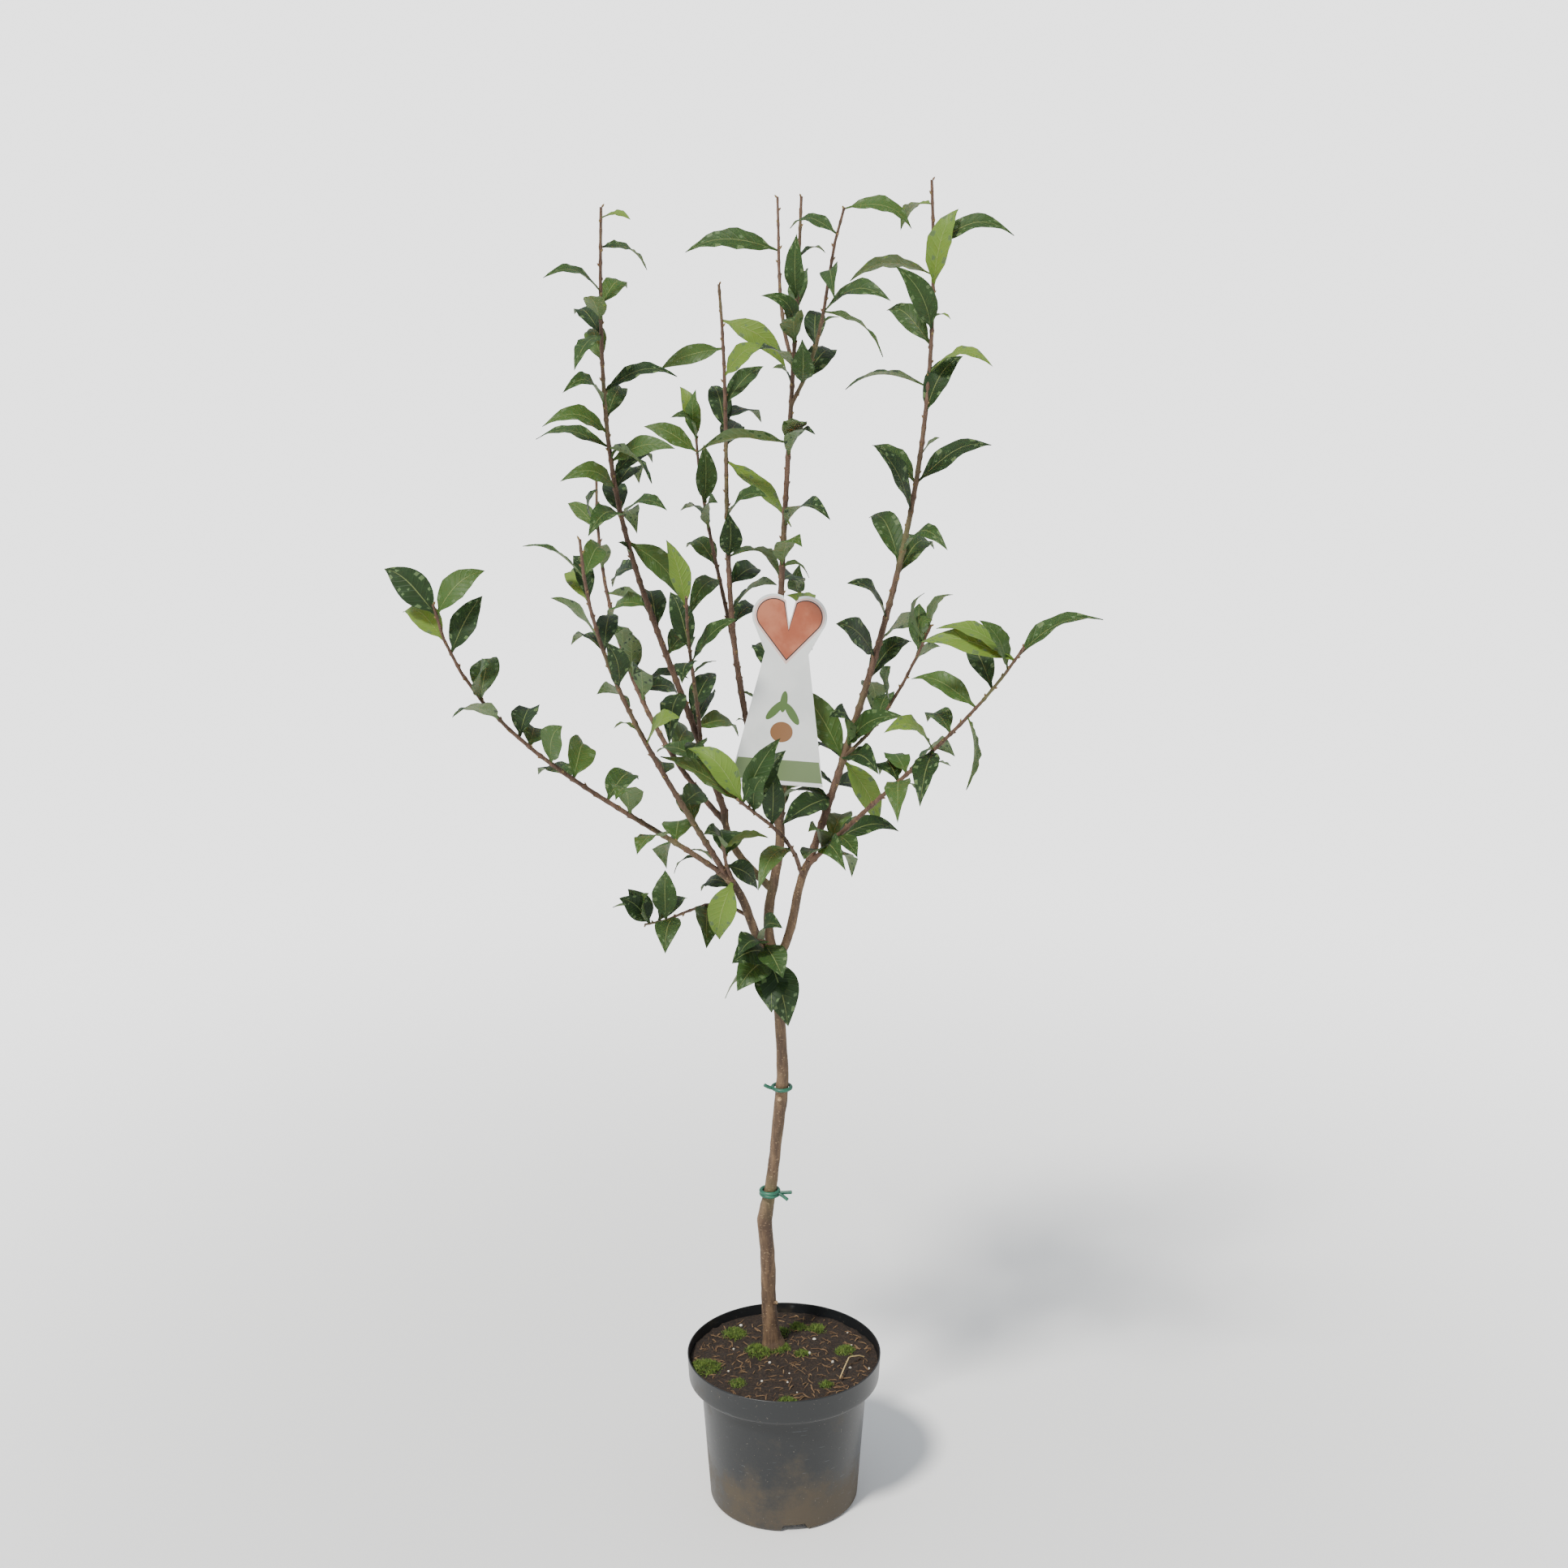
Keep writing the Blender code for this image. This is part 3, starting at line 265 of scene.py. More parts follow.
# Trunk: height, middle in x and y, and diameter, from the flat cut at soil level to the fork
trunkLevels = (
    (0.1783, -0.0130, 0.034, 0.0300),
    (0.1880, -0.0145, 0.034, 0.0235),
    (0.2060, -0.0165, 0.033, 0.0190),
    (0.2420, -0.0186, 0.031, 0.0174),
    (0.2800, -0.0190, 0.029, 0.0182),
    (0.3130, -0.0202, 0.026, 0.0168),
    (0.3520, -0.0232, 0.023, 0.0182),  # graft
    (0.3720, -0.0200, 0.021, 0.0164),
    (0.3960, -0.0158, 0.019, 0.0140),
    (0.4600, -0.0088, 0.015, 0.0130),
    (0.5150, -0.0036, 0.011, 0.0154),
    (0.5420, -0.0018, 0.009, 0.0146),
    (0.5900, -0.0032, 0.006, 0.0130),
    (0.6600, -0.0080, 0.002, 0.0128),
    (0.6930, -0.0100, 0.000, 0.0136),
)
# Steps between the points of each kind of line, and how many points its curve is worked out with
limbPlan = dict(trunkStep=0.022, boughStep=0.012, shootStep=0.040, leafStep=0.003, lineCount=161)

# Bare boughs. Each leaves its parent at a share of the parent's length and bends past two knees to
# its tip. Radii are at foot and tip.
boughs = (
    dict(name="leader_bough", growsFrom=("trunk", 1.0), radii=(0.0060, 0.0050),
         knees=((-0.033, 0.003, 0.748), (0.004, 0.006, 0.802)), tip=(-0.006, 0.010, 0.859)),
    dict(name="right_bough", growsFrom=("trunk", 0.99), radii=(0.0054, 0.0046),
         knees=((0.017, -0.004, 0.728), (0.008, -0.006, 0.777)), tip=(0.029, -0.010, 0.813)),
    dict(name="left_bough", growsFrom=("trunk", 0.98), radii=(0.0056, 0.0044),
         knees=((-0.044, -0.015, 0.724), (-0.034, -0.032, 0.784)), tip=(-0.072, -0.050, 0.814)),
    dict(name="inner_bough", growsFrom=("leader_bough", 0.49), radii=(0.0048, 0.0040),
         knees=((-0.042, 0.010, 0.799), (-0.068, 0.015, 0.825)), tip=(-0.067, 0.020, 0.861)),
)

# Leafy shoots. Along each one a bud stands every step of budPlan, and buds tells them off from the foot:
# a dot is one bare bud and a number that many. A leaf is a letter and a digit. The letter is the way it
# points as seen from the front, in steps of 15 degrees clockwise from straight up (a up, g right, m down,
# s left). It is a capital where the blade shows its face and small where it shows its edge. The digit is
# how much of the leaf shows from the front, in centimetres (0 is ten), and the rest of its length leans
# towards the front or the back. A twig that names a mass grows in that shoot's node. leaf is the length
# of a full leaf, and ratio its width as a share of that.
shoots = (
    dict(name="right_tall_shoot", growsFrom=("right_bough", 1.0),
         knees=((0.122, 0.033, 1.099), (0.174, 0.054, 1.243)), tip=(0.159, 0.100, 1.548),
         radii=(0.0044, 0.0016), leaf=0.100, seed=11,
         buds="5 s6Q6 t6i4 . t4X0K8H4 W4E7 4 L4D7 . V6 e6 . V6 . . D6 W7 f5 . . W8 . V7D0 . d3 . . C8 . s9 f7"
              " . V7 W8 g2 . B0 s9 . F9 . . q4 ."),
    dict(name="right_side_twig", mass="right_tall_shoot", growsFrom=("right_tall_shoot", 0.16),
         knees=((0.106, -0.012, 0.971), (0.123, -0.023, 0.999)), tip=(0.157, -0.060, 1.094),
         radii=(0.0022, 0.0013), leaf=0.075, seed=12, buds="4 C4 . a5 . . d5 . A6 a6A3 c5"),
    dict(name="right_low_shoot", growsFrom=("right_bough", 0.93),
         knees=((0.102, -0.056, 0.907), (0.193, -0.107, 0.984)), tip=(0.246, -0.160, 1.093),
         radii=(0.0030, 0.0015), leaf=0.095, seed=13,
         buds=". . I3R2W3i4 C3F8 J3 6 V3M4i3 V3f5 e5 . N5U6 . U3 . m7 U8 . W6 . W6 T0T9D0"),
    dict(name="front_shoot", growsFrom=("right_bough", 0.84),
         knees=((0.010, -0.055, 0.861), (-0.023, -0.099, 0.887)), tip=(-0.049, -0.150, 0.927),
         radii=(0.0026, 0.0016), leaf=0.095, seed=14,
         buds="r3 . . . P5 . . . A7 . . B5 C8 C8U0W9"),
    dict(name="leader_shoot", growsFrom=("leader_bough", 1.0),
         knees=((-0.012, 0.007, 1.100), (0.010, 0.004, 1.299)), tip=(0.018, 0.000, 1.535),
         radii=(0.0044, 0.0015), leaf=0.095, seed=15,
         buds="10 W6 7 H2 h3D3 . . f5 4 D4 C3s0 . . . v3 . . A3W7 . B5 A7b1 . . e3 4"),
    dict(name="leader_right_twig", mass="leader_shoot", growsFrom=("leader_shoot", 0.68),
         knees=((0.051, -0.036, 1.397), (0.038, -0.064, 1.460)), tip=(0.060, -0.100, 1.528),
         radii=(0.0022, 0.0013), leaf=0.085, seed=16, buds=". . A5D5 . . X4 . e2 i7F7 . . L2 . . T5 . H7"),
    dict(name="leader_left_twig", mass="leader_shoot", growsFrom=("leader_shoot", 0.74),
         knees=((-0.010, 0.034, 1.415), (-0.004, 0.066, 1.470)), tip=(-0.007, 0.100, 1.530),
         radii=(0.0022, 0.0013), leaf=0.085, seed=17, buds="U4 8 S0 4"),
    dict(name="left_centre_shoot", growsFrom=("leader_bough", 0.90),
         knees=((-0.087, 0.026, 1.047), (-0.051, 0.042, 1.237)), tip=(-0.070, 0.060, 1.441),
         radii=(0.0038, 0.0015), leaf=0.090, seed=18,
         buds="8 v2 . . j3 4 f4 e6 . E4 . h6A5 . . E5 . . . J0 C3 X6 g4 D6 . D6 . R7 . I8 ."),
    dict(name="left_centre_twig", mass="left_centre_shoot", growsFrom=("left_centre_shoot", 0.22),
         knees=((-0.060, 0.101, 1.082), (-0.094, 0.121, 1.163)), tip=(-0.101, 0.170, 1.274),
         radii=(0.0027, 0.0014), leaf=0.085, seed=19, buds="11 P5 V5 . . B4v4 . A7 . . . U7 V4X7A6"),
    dict(name="left_tall_shoot", growsFrom=("inner_bough", 1.0),
         knees=((-0.164, -0.007, 1.169), (-0.203, -0.007, 1.174)), tip=(-0.187, -0.040, 1.526),
         radii=(0.0040, 0.0015), leaf=0.090, seed=33,
         buds="4 T6 . . G5C5 C6 . N5 . . E3 . X5 . q5 . . Q3 v2 J8 . Q4I2F5X4 . E3T6 E5 F7d2 T8i5 T7u2 C4 u5"
              " F8 . X4 . P4V4 W3 D4 T6 . . H5 . g3"),
    dict(name="left_inner_twig", mass="left_tall_shoot", growsFrom=("left_tall_shoot", 0.12),
         knees=((-0.094, -0.018, 1.010), (-0.106, -0.048, 1.068)), tip=(-0.103, -0.080, 1.129),
         radii=(0.0024, 0.0014), leaf=0.090, seed=21, buds="O2 6 e3 d7O2 X8 . . . X8"),
    dict(name="left_back_shoot", growsFrom=("inner_bough", 0.88),
         knees=((-0.167, 0.120, 0.926), (-0.220, 0.155, 1.064)), tip=(-0.219, 0.220, 1.206),
         radii=(0.0034, 0.0015), leaf=0.090, seed=42,
         buds="7 C4 4 X4 H5f6 A5 . X3 4 i6 . X3 . . V5a5 . . ."),
    dict(name="left_low_shoot", growsFrom=("left_bough", 1.0),
         knees=((-0.170, -0.070, 0.896), (-0.342, -0.096, 0.973)), tip=(-0.364, -0.120, 1.129),
         radii=(0.0032, 0.0015), leaf=0.085, seed=23, ratio=0.42,
         buds=". . q3 h3 O2B2 R3 . . W3 . D5 . . B5t4 . B5 . B2 C4 . t5 . B4B5 . . . C7 V6 . W8C7"),
    dict(name="left_front_shoot", growsFrom=("left_bough", 0.90),
         knees=((-0.131, -0.124, 0.953), (-0.203, -0.153, 1.071)), tip=(-0.203, -0.200, 1.212),
         radii=(0.0036, 0.0015), leaf=0.090, seed=24,
         buds="6 X4 . E3 . . X2 . . D5 u3 . u4 . X5 . . B4u4 v7 . . W4X6 . u7C4 ."),
    dict(name="lowest_shoot", growsFrom=("left_bough", 0.50),
         knees=((-0.082, 0.027, 0.775), (-0.118, 0.056, 0.714)), tip=(-0.164, 0.100, 0.697),
         radii=(0.0020, 0.0013), leaf=0.070, seed=25, ratio=0.52,
         buds="5 M4 . . . N4 A6 D5 a4W5V5u5"),
    dict(name="trunk_leaves", growsFrom=("trunk", 0.95),
         knees=((-0.017, -0.016, 0.687), (-0.017, -0.032, 0.710)), tip=(-0.023, -0.050, 0.733),
         radii=(0.0024, 0.0016), leaf=0.070, seed=38, ratio=0.62,
         buds=". . M5q6 M7P5 R4 K4R3 D3"),
    dict(name="knot_leaves", growsFrom=("left_bough", 0.79),
         knees=((-0.062, -0.056, 0.814), (-0.067, -0.073, 0.838)), tip=(-0.067, -0.090, 0.863),
         radii=(0.0024, 0.0016), leaf=0.065, seed=47, ratio=0.50,
         buds="S4 N6T6 . I4 X3B3 V3F5"),
    dict(name="back_shoot", growsFrom=("leader_bough", 0.70),
         knees=((0.000, 0.080, 0.870), (0.010, 0.160, 0.950)), tip=(0.020, 0.240, 1.080),
         radii=(0.0032, 0.0015), leaf=0.090, seed=28,
         buds="4 X4 . F4 . R3 B4 . W3 H3 . A4 T4 . D3 L2 . X5 C4 . A4"),
)


class Limb:
    # the middle line and radii of a trunk, bough or shoot
    def __init__(self, points, radii):
        self.points = points
        self.radii = radii

    def at(self, share):
        lengths = lengthsAlong(self.points)
        return pointWhere(share * lengths[-1], lengths, self.points)


def massOf(spec):
    return spec.get("mass", spec["name"])


def limbFrom(spec, parent, step):
    foot = parent.at(spec["growsFrom"][1])
    points = evenLine(bentLine(foot, spec["knees"], spec["tip"], limbPlan["lineCount"]), step)
    share = np.linspace(0.0, 1.0, len(points))
    return Limb(points, spec["radii"][0] + (spec["radii"][1] - spec["radii"][0]) * share)


def growLimbs(around):
    rows = smoothLevels(trunkLevels, limbPlan["trunkStep"])
    limbs = {"trunk": Limb(rows[:, (1, 2, 0)], rows[:, 3] / 2)}
    around.addLimb("trunk", limbs["trunk"])
    for spec in boughs:
        limbs[spec["name"]] = limbFrom(spec, limbs[spec["growsFrom"][0]], limbPlan["boughStep"])
        around.addLimb(spec["name"], limbs[spec["name"]])
    for spec in shoots:
        limbs[spec["name"]] = limbFrom(spec, limbs[spec["growsFrom"][0]], limbPlan["shootStep"])
        around.addLimb(massOf(spec), limbs[spec["name"]])
    around.addLeaf("name_card", np.array([cardPoint(s * cardHalf(w), w)
                                          for w in np.linspace(0.01, cardPlan["height"], 24)
                                          for s in np.linspace(-1, 1, 9)]))
    print("limbs grown")
    return limbs, rows


# Wood: trunk, boughs and the stubs of pruned shoots

barkPlan = dict(sides=40, boughSides=28, stubSides=20, step=0.0025, relief=0.00045, knobs=0.0006,
                colour="#7b6248", dark="#4a382a", algae="#6b6f45", grain=95,
                cut="#b79a72", cutGrain="#7c5c3c")
# Stubs of pruned side shoots: height, heading in degrees from +X, length, diameter
pruningStubs = (
    (0.513, -100, 0.0115, 0.0060),
    (0.622, -70, 0.0095, 0.0052),
    (0.236, -35, 0.0125, 0.0050),
)


def barkRelief(vertices, middle):
    # each point moves out from its ring's middle by summed noise: long low ridges, fine grain and slow knobs
    out = vertices - middle
    size = np.maximum(np.linalg.norm(out, axis=1), 1e-6)
    ridges = noiseAt(vertices * (260, 260, 34))
    grain = noiseAt(vertices * 900)
    moved = barkPlan["relief"] * (ridges + 0.4 * grain) + barkPlan["knobs"] * noiseAt(vertices * 60)
    return middle + out * (1 + moved / size)[:, None]


def fineLimb(limb, sides):
    # the limb's line and radii at a fine step, with relief in its bark
    points = evenLine(limb.points, barkPlan["step"])
    lengths = lengthsAlong(limb.points)
    radii = np.interp(np.linspace(0.0, lengths[-1], len(points)), lengths, limb.radii)
    vertices, faces = tubeMesh(points, radii, sides)
    return barkRelief(vertices, np.repeat(points, sides, axis=0)), faces


def makeWood(limbs, trunkRows):
    bark = barkMaterial("bark", *(barkPlan[key] for key in ("colour", "dark", "algae", "grain")))
    parts = [fineLimb(limbs["trunk"], barkPlan["sides"])]
    parts += [fineLimb(limbs[spec["name"]], barkPlan["boughSides"]) for spec in boughs]
    cuts = []
    share = np.linspace(0.0, 1.0, 9)
    for height, heading, length, width in pruningStubs:
        # a short tube, wide at its foot and with a small collar under the cut
        middle = np.array([np.interp(height, trunkRows[:, 0], trunkRows[:, k]) for k in (1, 2)] + [height])
        angle = math.radians(heading)
        out = unit(np.array((math.cos(angle), math.sin(angle), 0.45)))
        radii = 0.5 * width * (1.25 - 0.3 * share + 0.12 * np.exp(-((share - 0.9) / 0.08) ** 2))
        parts.append(tubeMesh(middle + out * (share * length)[:, None], radii, barkPlan["stubSides"]))
        end = middle + out * (length - 0.0002)
        cuts.append(tubeMesh(np.array((end, end + out * 0.0005)), np.array((0.40, 0.36)) * width,
                             barkPlan["stubSides"]))
    wood = finishPiece("bark_wood", *joinedMeshes(parts), [bark], "trunk_bark")
    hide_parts("trunk", *[spec["name"] for spec in boughs])
    # dry cut wood, pale with brown grain
    heartwood = plainMaterial("cut_wood", barkPlan["cut"], 0.8, barkPlan["cutGrain"], 500)
    finishPiece("cut_faces", *joinedMeshes(cuts), [heartwood], "trunk_bark")
    print("wood", len(wood.data.polygons))


# Stems of the leafy shoots, with their buds

shootPlan = dict(sides=10, step=0.004, young="#6d7a43", old="#6b5040", dark="#4b3629", grain=240,
                 knotSwell=0.30, knotHalfLength=0.0016)
budPlan = dict(step=0.015, tipClear=0.001, turn=2.4, length=0.0042, halfWidth=0.0011, sides=7, seed=700,
               colour="#6a4a30", edge="#8a7a45")


def shootRadii(limb, points):
    # taper, with a small swelling at each bud
    share = np.linspace(0.0, 1.0, len(points))
    radii = limb.radii[0] + (limb.radii[-1] - limb.radii[0]) * share
    along = share * np.linalg.norm(np.diff(limb.points, axis=0), axis=1).sum()
    nearBud = np.abs((along / budPlan["step"] + 0.5) % 1.0 - 0.5) * budPlan["step"]
    return radii * (1 + shootPlan["knotSwell"] * np.exp(-(nearBud / shootPlan["knotHalfLength"]) ** 2))


def budMeshes(limb, seed):
    # a pointed bud at every step of the shoot, each turned on from the last
    rng = np.random.default_rng(seed)
    points = evenLine(limb.points, budPlan["step"])
    tangents, across, over = ringFrames(points)
    radii = np.interp(np.linspace(0, 1, len(points)), (0, 1), (limb.radii[0], limb.radii[-1]))
    share = np.linspace(0, 1, 5)
    width = budPlan["halfWidth"] * np.sin(math.pi * (0.30 + 0.68 * share)) + 0.00008
    parts = []
    for k in range(1, len(points)):
        turn = budPlan["turn"] * k + rng.uniform(-0.2, 0.2)
        out = across[k] * math.cos(turn) + over[k] * math.sin(turn)
        heading = unit(out * 0.75 + tangents[k])
        size = budPlan["length"] * rng.uniform(0.7, 1.15)
        line = points[k] + out * radii[k] * 0.75 + heading * (share * size)[:, None]
        parts.append(tubeMesh(line, width, budPlan["sides"]))
    return parts


def makeShoots(limbs):
    young = barkMaterial("young_bark", *(shootPlan[key] for key in ("old", "dark", "young", "grain")))
    budScale = plainMaterial("bud_scales", budPlan["colour"], 0.6, budPlan["edge"], 400)  # dry brown scales
    tubes = []
    buds = []
    for number, spec in enumerate(shoots):
        limb = limbs[spec["name"]]
        points = evenLine(limb.points, shootPlan["step"])
        tubes.append(tubeMesh(points, shootRadii(limb, points), shootPlan["sides"]))
        buds += budMeshes(limb, budPlan["seed"] + number)
    stems = finishPiece("shoot_stems", *joinedMeshes(tubes), [young], "foliage")
    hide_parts(*dict.fromkeys(massOf(spec) for spec in shoots))
    finishPiece("shoot_buds", *joinedMeshes(buds), [budScale], "foliage")
    print("shoots", len(stems.data.polygons))


# Leaves

# Shape as shares of the leaf's length, but stalkHalfWidth, awayMost, sway, edgeOnBelow and thickness are
# metres, and roll and twist degrees either way. Each tone has the colour of its blade and of its side veins.
leafPlan = dict(ratio=0.32, stalkShare=0.07, stalkHalfWidth=0.0010, archRange=(0.05, 0.20), roll=22, twist=35,
                awayMost=0.085, sway=0.006, shorterAtTip=0.30, edgeOnBelow=0.035, edgeOnLength=1.3, seed=90,
                rows=13, columns=(-1.0, -0.55, 0.0, 0.55, 1.0), thickness=0.00035,
                fold=0.16, quilt=0.018, wave=0.035, droop=0.16, sideVeins=11, rib="#93a564",
                tones=dict(dark=("#1b2f15", "#2f4726"), mid=("#27401b", "#3e592c"),
                           light=("#375523", "#506e37"), young=("#5f7c2c", "#7f9a40")),
                toneShares=(0.40, 0.38, 0.18, 0.04), youngFrom=0.86, under=("#4b6437", "#8b9e6c"))
# Room that a leaf keeps, and the leans that it tries in turn: side, turn in degrees, share of the lean
roomPlan = dict(toOthers=0.0075, toOwn=0.004, toLimb=0.003, limbStep=0.004, limbReach=0.11, leafReach=0.12,
                stations=np.linspace(0.2, 1.0, 10),
                leans=((1, 0, 1.0), (-1, 0, 1.0), (1, 0, 0.6), (-1, 0, 0.6),
                       (1, 10, 1.0), (1, -10, 1.0), (-1, 10, 1.0), (-1, -10, 1.0),
                       (1, 0, 0.25), (-1, 0, 0.25), (1, 18, 0.8), (-1, -18, 0.8)))


def leafWords(buds):
    # each leaf of a string of buds: its bud, its letter and how much of it shows, in metres
    bud = 0
    for word in buds.split():
        if word == ".":
            bud += 1
        elif word.isdigit():
            bud += int(word)
        else:
            for k in range(0, len(word), 2):
                yield bud, word[k], (int(word[k + 1]) or 10) / 100
            bud += 1


def leafOutline(t, width):
    # half width: a thin stalk, then a blade widest before its middle and pointed at its tip
    stalk = leafPlan["stalkShare"]
    blade = np.clip((t - stalk) / (1 - stalk), 0, 1)
    half = 0.5 * width * np.sin(math.pi * blade**0.85) * (1.06 - 0.16 * blade)
    return np.maximum(half, leafPlan["stalkHalfWidth"] * (1 - t))


def leafLines(base, letter, shown, life, lean, draws, ratio, t):
    # middle line, cross direction, face direction, half widths and length of one leaf: the line is the chord
    # from its bud to its tip, bowed up by 4 t (1 - t) (0.75 + 0.5 t), and the blade rolls and twists about it
    side, turn, share = lean
    sight = unit(base - eye)
    right = unit(np.cross(sight, up))
    high = np.cross(right, sight)
    bearing = math.radians(15 * (ord(letter.lower()) - ord("a")) + turn)
    away = min(math.sqrt(max(life**2 - shown**2, 0.0)), leafPlan["awayMost"]) * share * side
    away += leafPlan["sway"] * (draws[4] - 0.5)
    chord = (right * math.sin(bearing) + high * math.cos(bearing)) * shown + sight * away
    length = np.linalg.norm(chord)
    along = chord / length
    if letter.isupper():
        face = 0.65 * up - 0.75 * sight
    else:
        face = np.cross(along, sight)
        face *= 1.0 if face[2] >= 0 else -1.0
    face = unit(face - along * np.dot(face, along))
    roll = math.radians(leafPlan["roll"]) * (2 * draws[0] - 1)
    face = math.cos(roll) * face + math.sin(roll) * np.cross(along, face)
    lift = up - along * up.dot(along)
    bow = unit(0.8 * face + 0.7 * lift)
    archLow, archHigh = leafPlan["archRange"]
    arch = length * (archLow + (archHigh - archLow) * draws[1])
    rise = 4 * t * (1 - t) * (0.75 + 0.5 * t)
    slope = 4 * (1 - 2 * t) * (0.75 + 0.5 * t) + 2 * t * (1 - t)
    middle = base + chord * t[:, None] + bow * (arch * rise)[:, None]
    tangent = chord + bow * (arch * slope)[:, None]
    tangent /= np.linalg.norm(tangent, axis=1)[:, None]
    faces = face - tangent * (tangent @ face)[:, None]
    faces /= np.linalg.norm(faces, axis=1)[:, None]
    across = np.cross(tangent, faces)
    twist = (math.radians(leafPlan["twist"]) * (2 * draws[2] - 1) * t)[:, None]
    faces, across = (np.cos(twist) * faces + np.sin(twist) * across,
                     np.cos(twist) * across - np.sin(twist) * faces)
    width = ratio * max(length, 0.75 * life) * (0.92 + 0.16 * draws[3])
    return middle, across, faces, leafOutline(t, width), length


def feelers(lines):
    # points spread over the blade, to feel for neighbours
    middle, across, _, half, _ = lines
    edge = across * (0.85 * half)[:, None]
    return np.concatenate((middle - edge, middle, middle + edge))


def nearest(points, others):
    # least distance between two sets of points
    if not len(others):
        return 1.0
    return math.sqrt(((points[:, None] - others[None]) ** 2).sum(axis=2).min())


class Surroundings:
    # what a leaf must keep clear of: limbs, other leaves and the card, each with its mass
    def __init__(self):
        self.limbs = []
        self.leaves = []

    def addLimb(self, mass, limb):
        self.limbs.append((mass, evenLine(limb.points, roomPlan["limbStep"]), float(limb.radii.max())))

    def addLeaf(self, mass, points):
        self.leaves.append((mass, points, points.mean(axis=0)))

    def clear(self, mass, points, ownToo):
        centre = points.mean(axis=0)
        for owner, dense, radius in self.limbs:
            if owner == mass and not ownToo:
                continue
            near = dense[np.linalg.norm(dense - centre, axis=1) < roomPlan["limbReach"]]
            if nearest(points, near) < radius + roomPlan["toLimb"]:
                return False
        for owner, others, middle in self.leaves:
            far = np.linalg.norm(middle - centre) > roomPlan["leafReach"]
            if far or owner == mass and not ownToo:
                continue
            if nearest(points, others) < roomPlan["toOwn" if owner == mass else "toOthers"]:
                return False
        return True


def placeLeaves(spec, shoot, around):
    # the leaves of a shoot that find room, as the values that leafLines takes
    rng = np.random.default_rng(spec["seed"])
    line = evenLine(shoot.points, limbPlan["leafStep"])
    lengths = lengthsAlong(line)
    mass = massOf(spec)
    ratio = spec.get("ratio", leafPlan["ratio"])
    placed = []
    for bud, letter, shown in leafWords(spec["buds"]):
        draws = rng.random(6)
        where = min(bud * budPlan["step"], lengths[-1] - budPlan["tipClear"])
        base = pointWhere(where, lengths, line)
        shorter = 1 - leafPlan["shorterAtTip"] * (where / lengths[-1]) ** 2
        life = spec["leaf"] * shorter * (0.92 + 0.16 * draws[5])
        if letter.islower() and shown < leafPlan["edgeOnBelow"]:
            life = leafPlan["edgeOnLength"] * shown
        firstSide = 1 if draws[4] > 0.5 else -1
        # the first lean that is clear of everything, or else of all but the leaves and stems of its own mass
        trials = [(ownToo, lean) for ownToo in (True, False) for lean in roomPlan["leans"]]
        for ownToo, (side, turn, share) in trials:
            leaf = (base, letter, shown, life, (side * firstSide, turn, share), draws, ratio)
            touch = feelers(leafLines(*leaf, roomPlan["stations"]))
            if around.clear(mass, touch, ownToo):
                around.addLeaf(mass, touch)
                placed.append(leaf)
                break
    return placed


def leafMesh(leaf, rng):
    # shell over the blade's middle line: across by u in -1..1, folded up along the midrib, quilted between
    # the side veins and waved at the edge. The under side is the same grid moved in by the thickness.
    t = np.linspace(0.0, 1.0, leafPlan["rows"]) ** 0.92
    middle, across, faces, half, length = leafLines(*leaf, t)
    fold = leafPlan["fold"] * rng.uniform(0.3, 2.0)
    phase = rng.uniform(0, 2 * math.pi)
    waves = rng.uniform(2.0, 4.5)
    droop = leafPlan["droop"] * rng.uniform(0.0, 1.0) * length
    u = np.array(leafPlan["columns"])
    far = np.abs(u)
    down = t[:, None]
    sag = (np.clip((t - 0.45) / 0.55, 0, 1) ** 2 * droop)[:, None] * np.array((0.0, 0.0, -1.0))
    pillows = np.sin(2 * math.pi * leafPlan["sideVeins"] / 2 * (down - 0.12 * far))
    ripple = np.sin(2 * math.pi * waves * down + phase + 1.3 * np.sign(u)) * np.sin(math.pi * down) * 0.5
    rise = (fold * far * half[:, None] + leafPlan["quilt"] * length * far * (1 - far) * 2 * pillows
            + leafPlan["wave"] * length * far**2 * ripple)
    top = ((middle + sag)[:, None] + across[:, None] * (half[:, None] * u)[..., None]
           + faces[:, None] * rise[..., None])
    thick = leafPlan["thickness"] * (1 + 2.2 * np.exp(-(u / 0.12) ** 2)) * (1 - 0.6 * down)
    low = top - faces[:, None] * thick[..., None]
    rows, columns = len(t), len(u)
    above = gridFaces(rows, columns)
    below = gridFaces(rows, columns)[:, ::-1] + rows * columns
    rim = np.concatenate((np.arange(columns), np.arange(1, rows) * columns + columns - 1,
                          (rows - 1) * columns + np.arange(columns - 2, -1, -1),
                          np.arange(rows - 2, 0, -1) * columns))
    after = np.roll(rim, -1)
    side = np.stack((after, rim, rim + rows * columns, after + rows * columns), axis=1)
    quads = np.concatenate((above[:, ::-1], below[:, ::-1], side[:, ::-1]))
    place = np.stack(np.broadcast_arrays(0.5 + 0.5 * u[None], down), axis=-1).reshape(-1, 2)
    kinds = np.r_[np.zeros(len(above)), np.ones(len(below)), np.zeros(len(side))]
    vertices = np.concatenate((top, low)).reshape(-1, 3)
    return vertices, quads, np.concatenate((place, place)), kinds


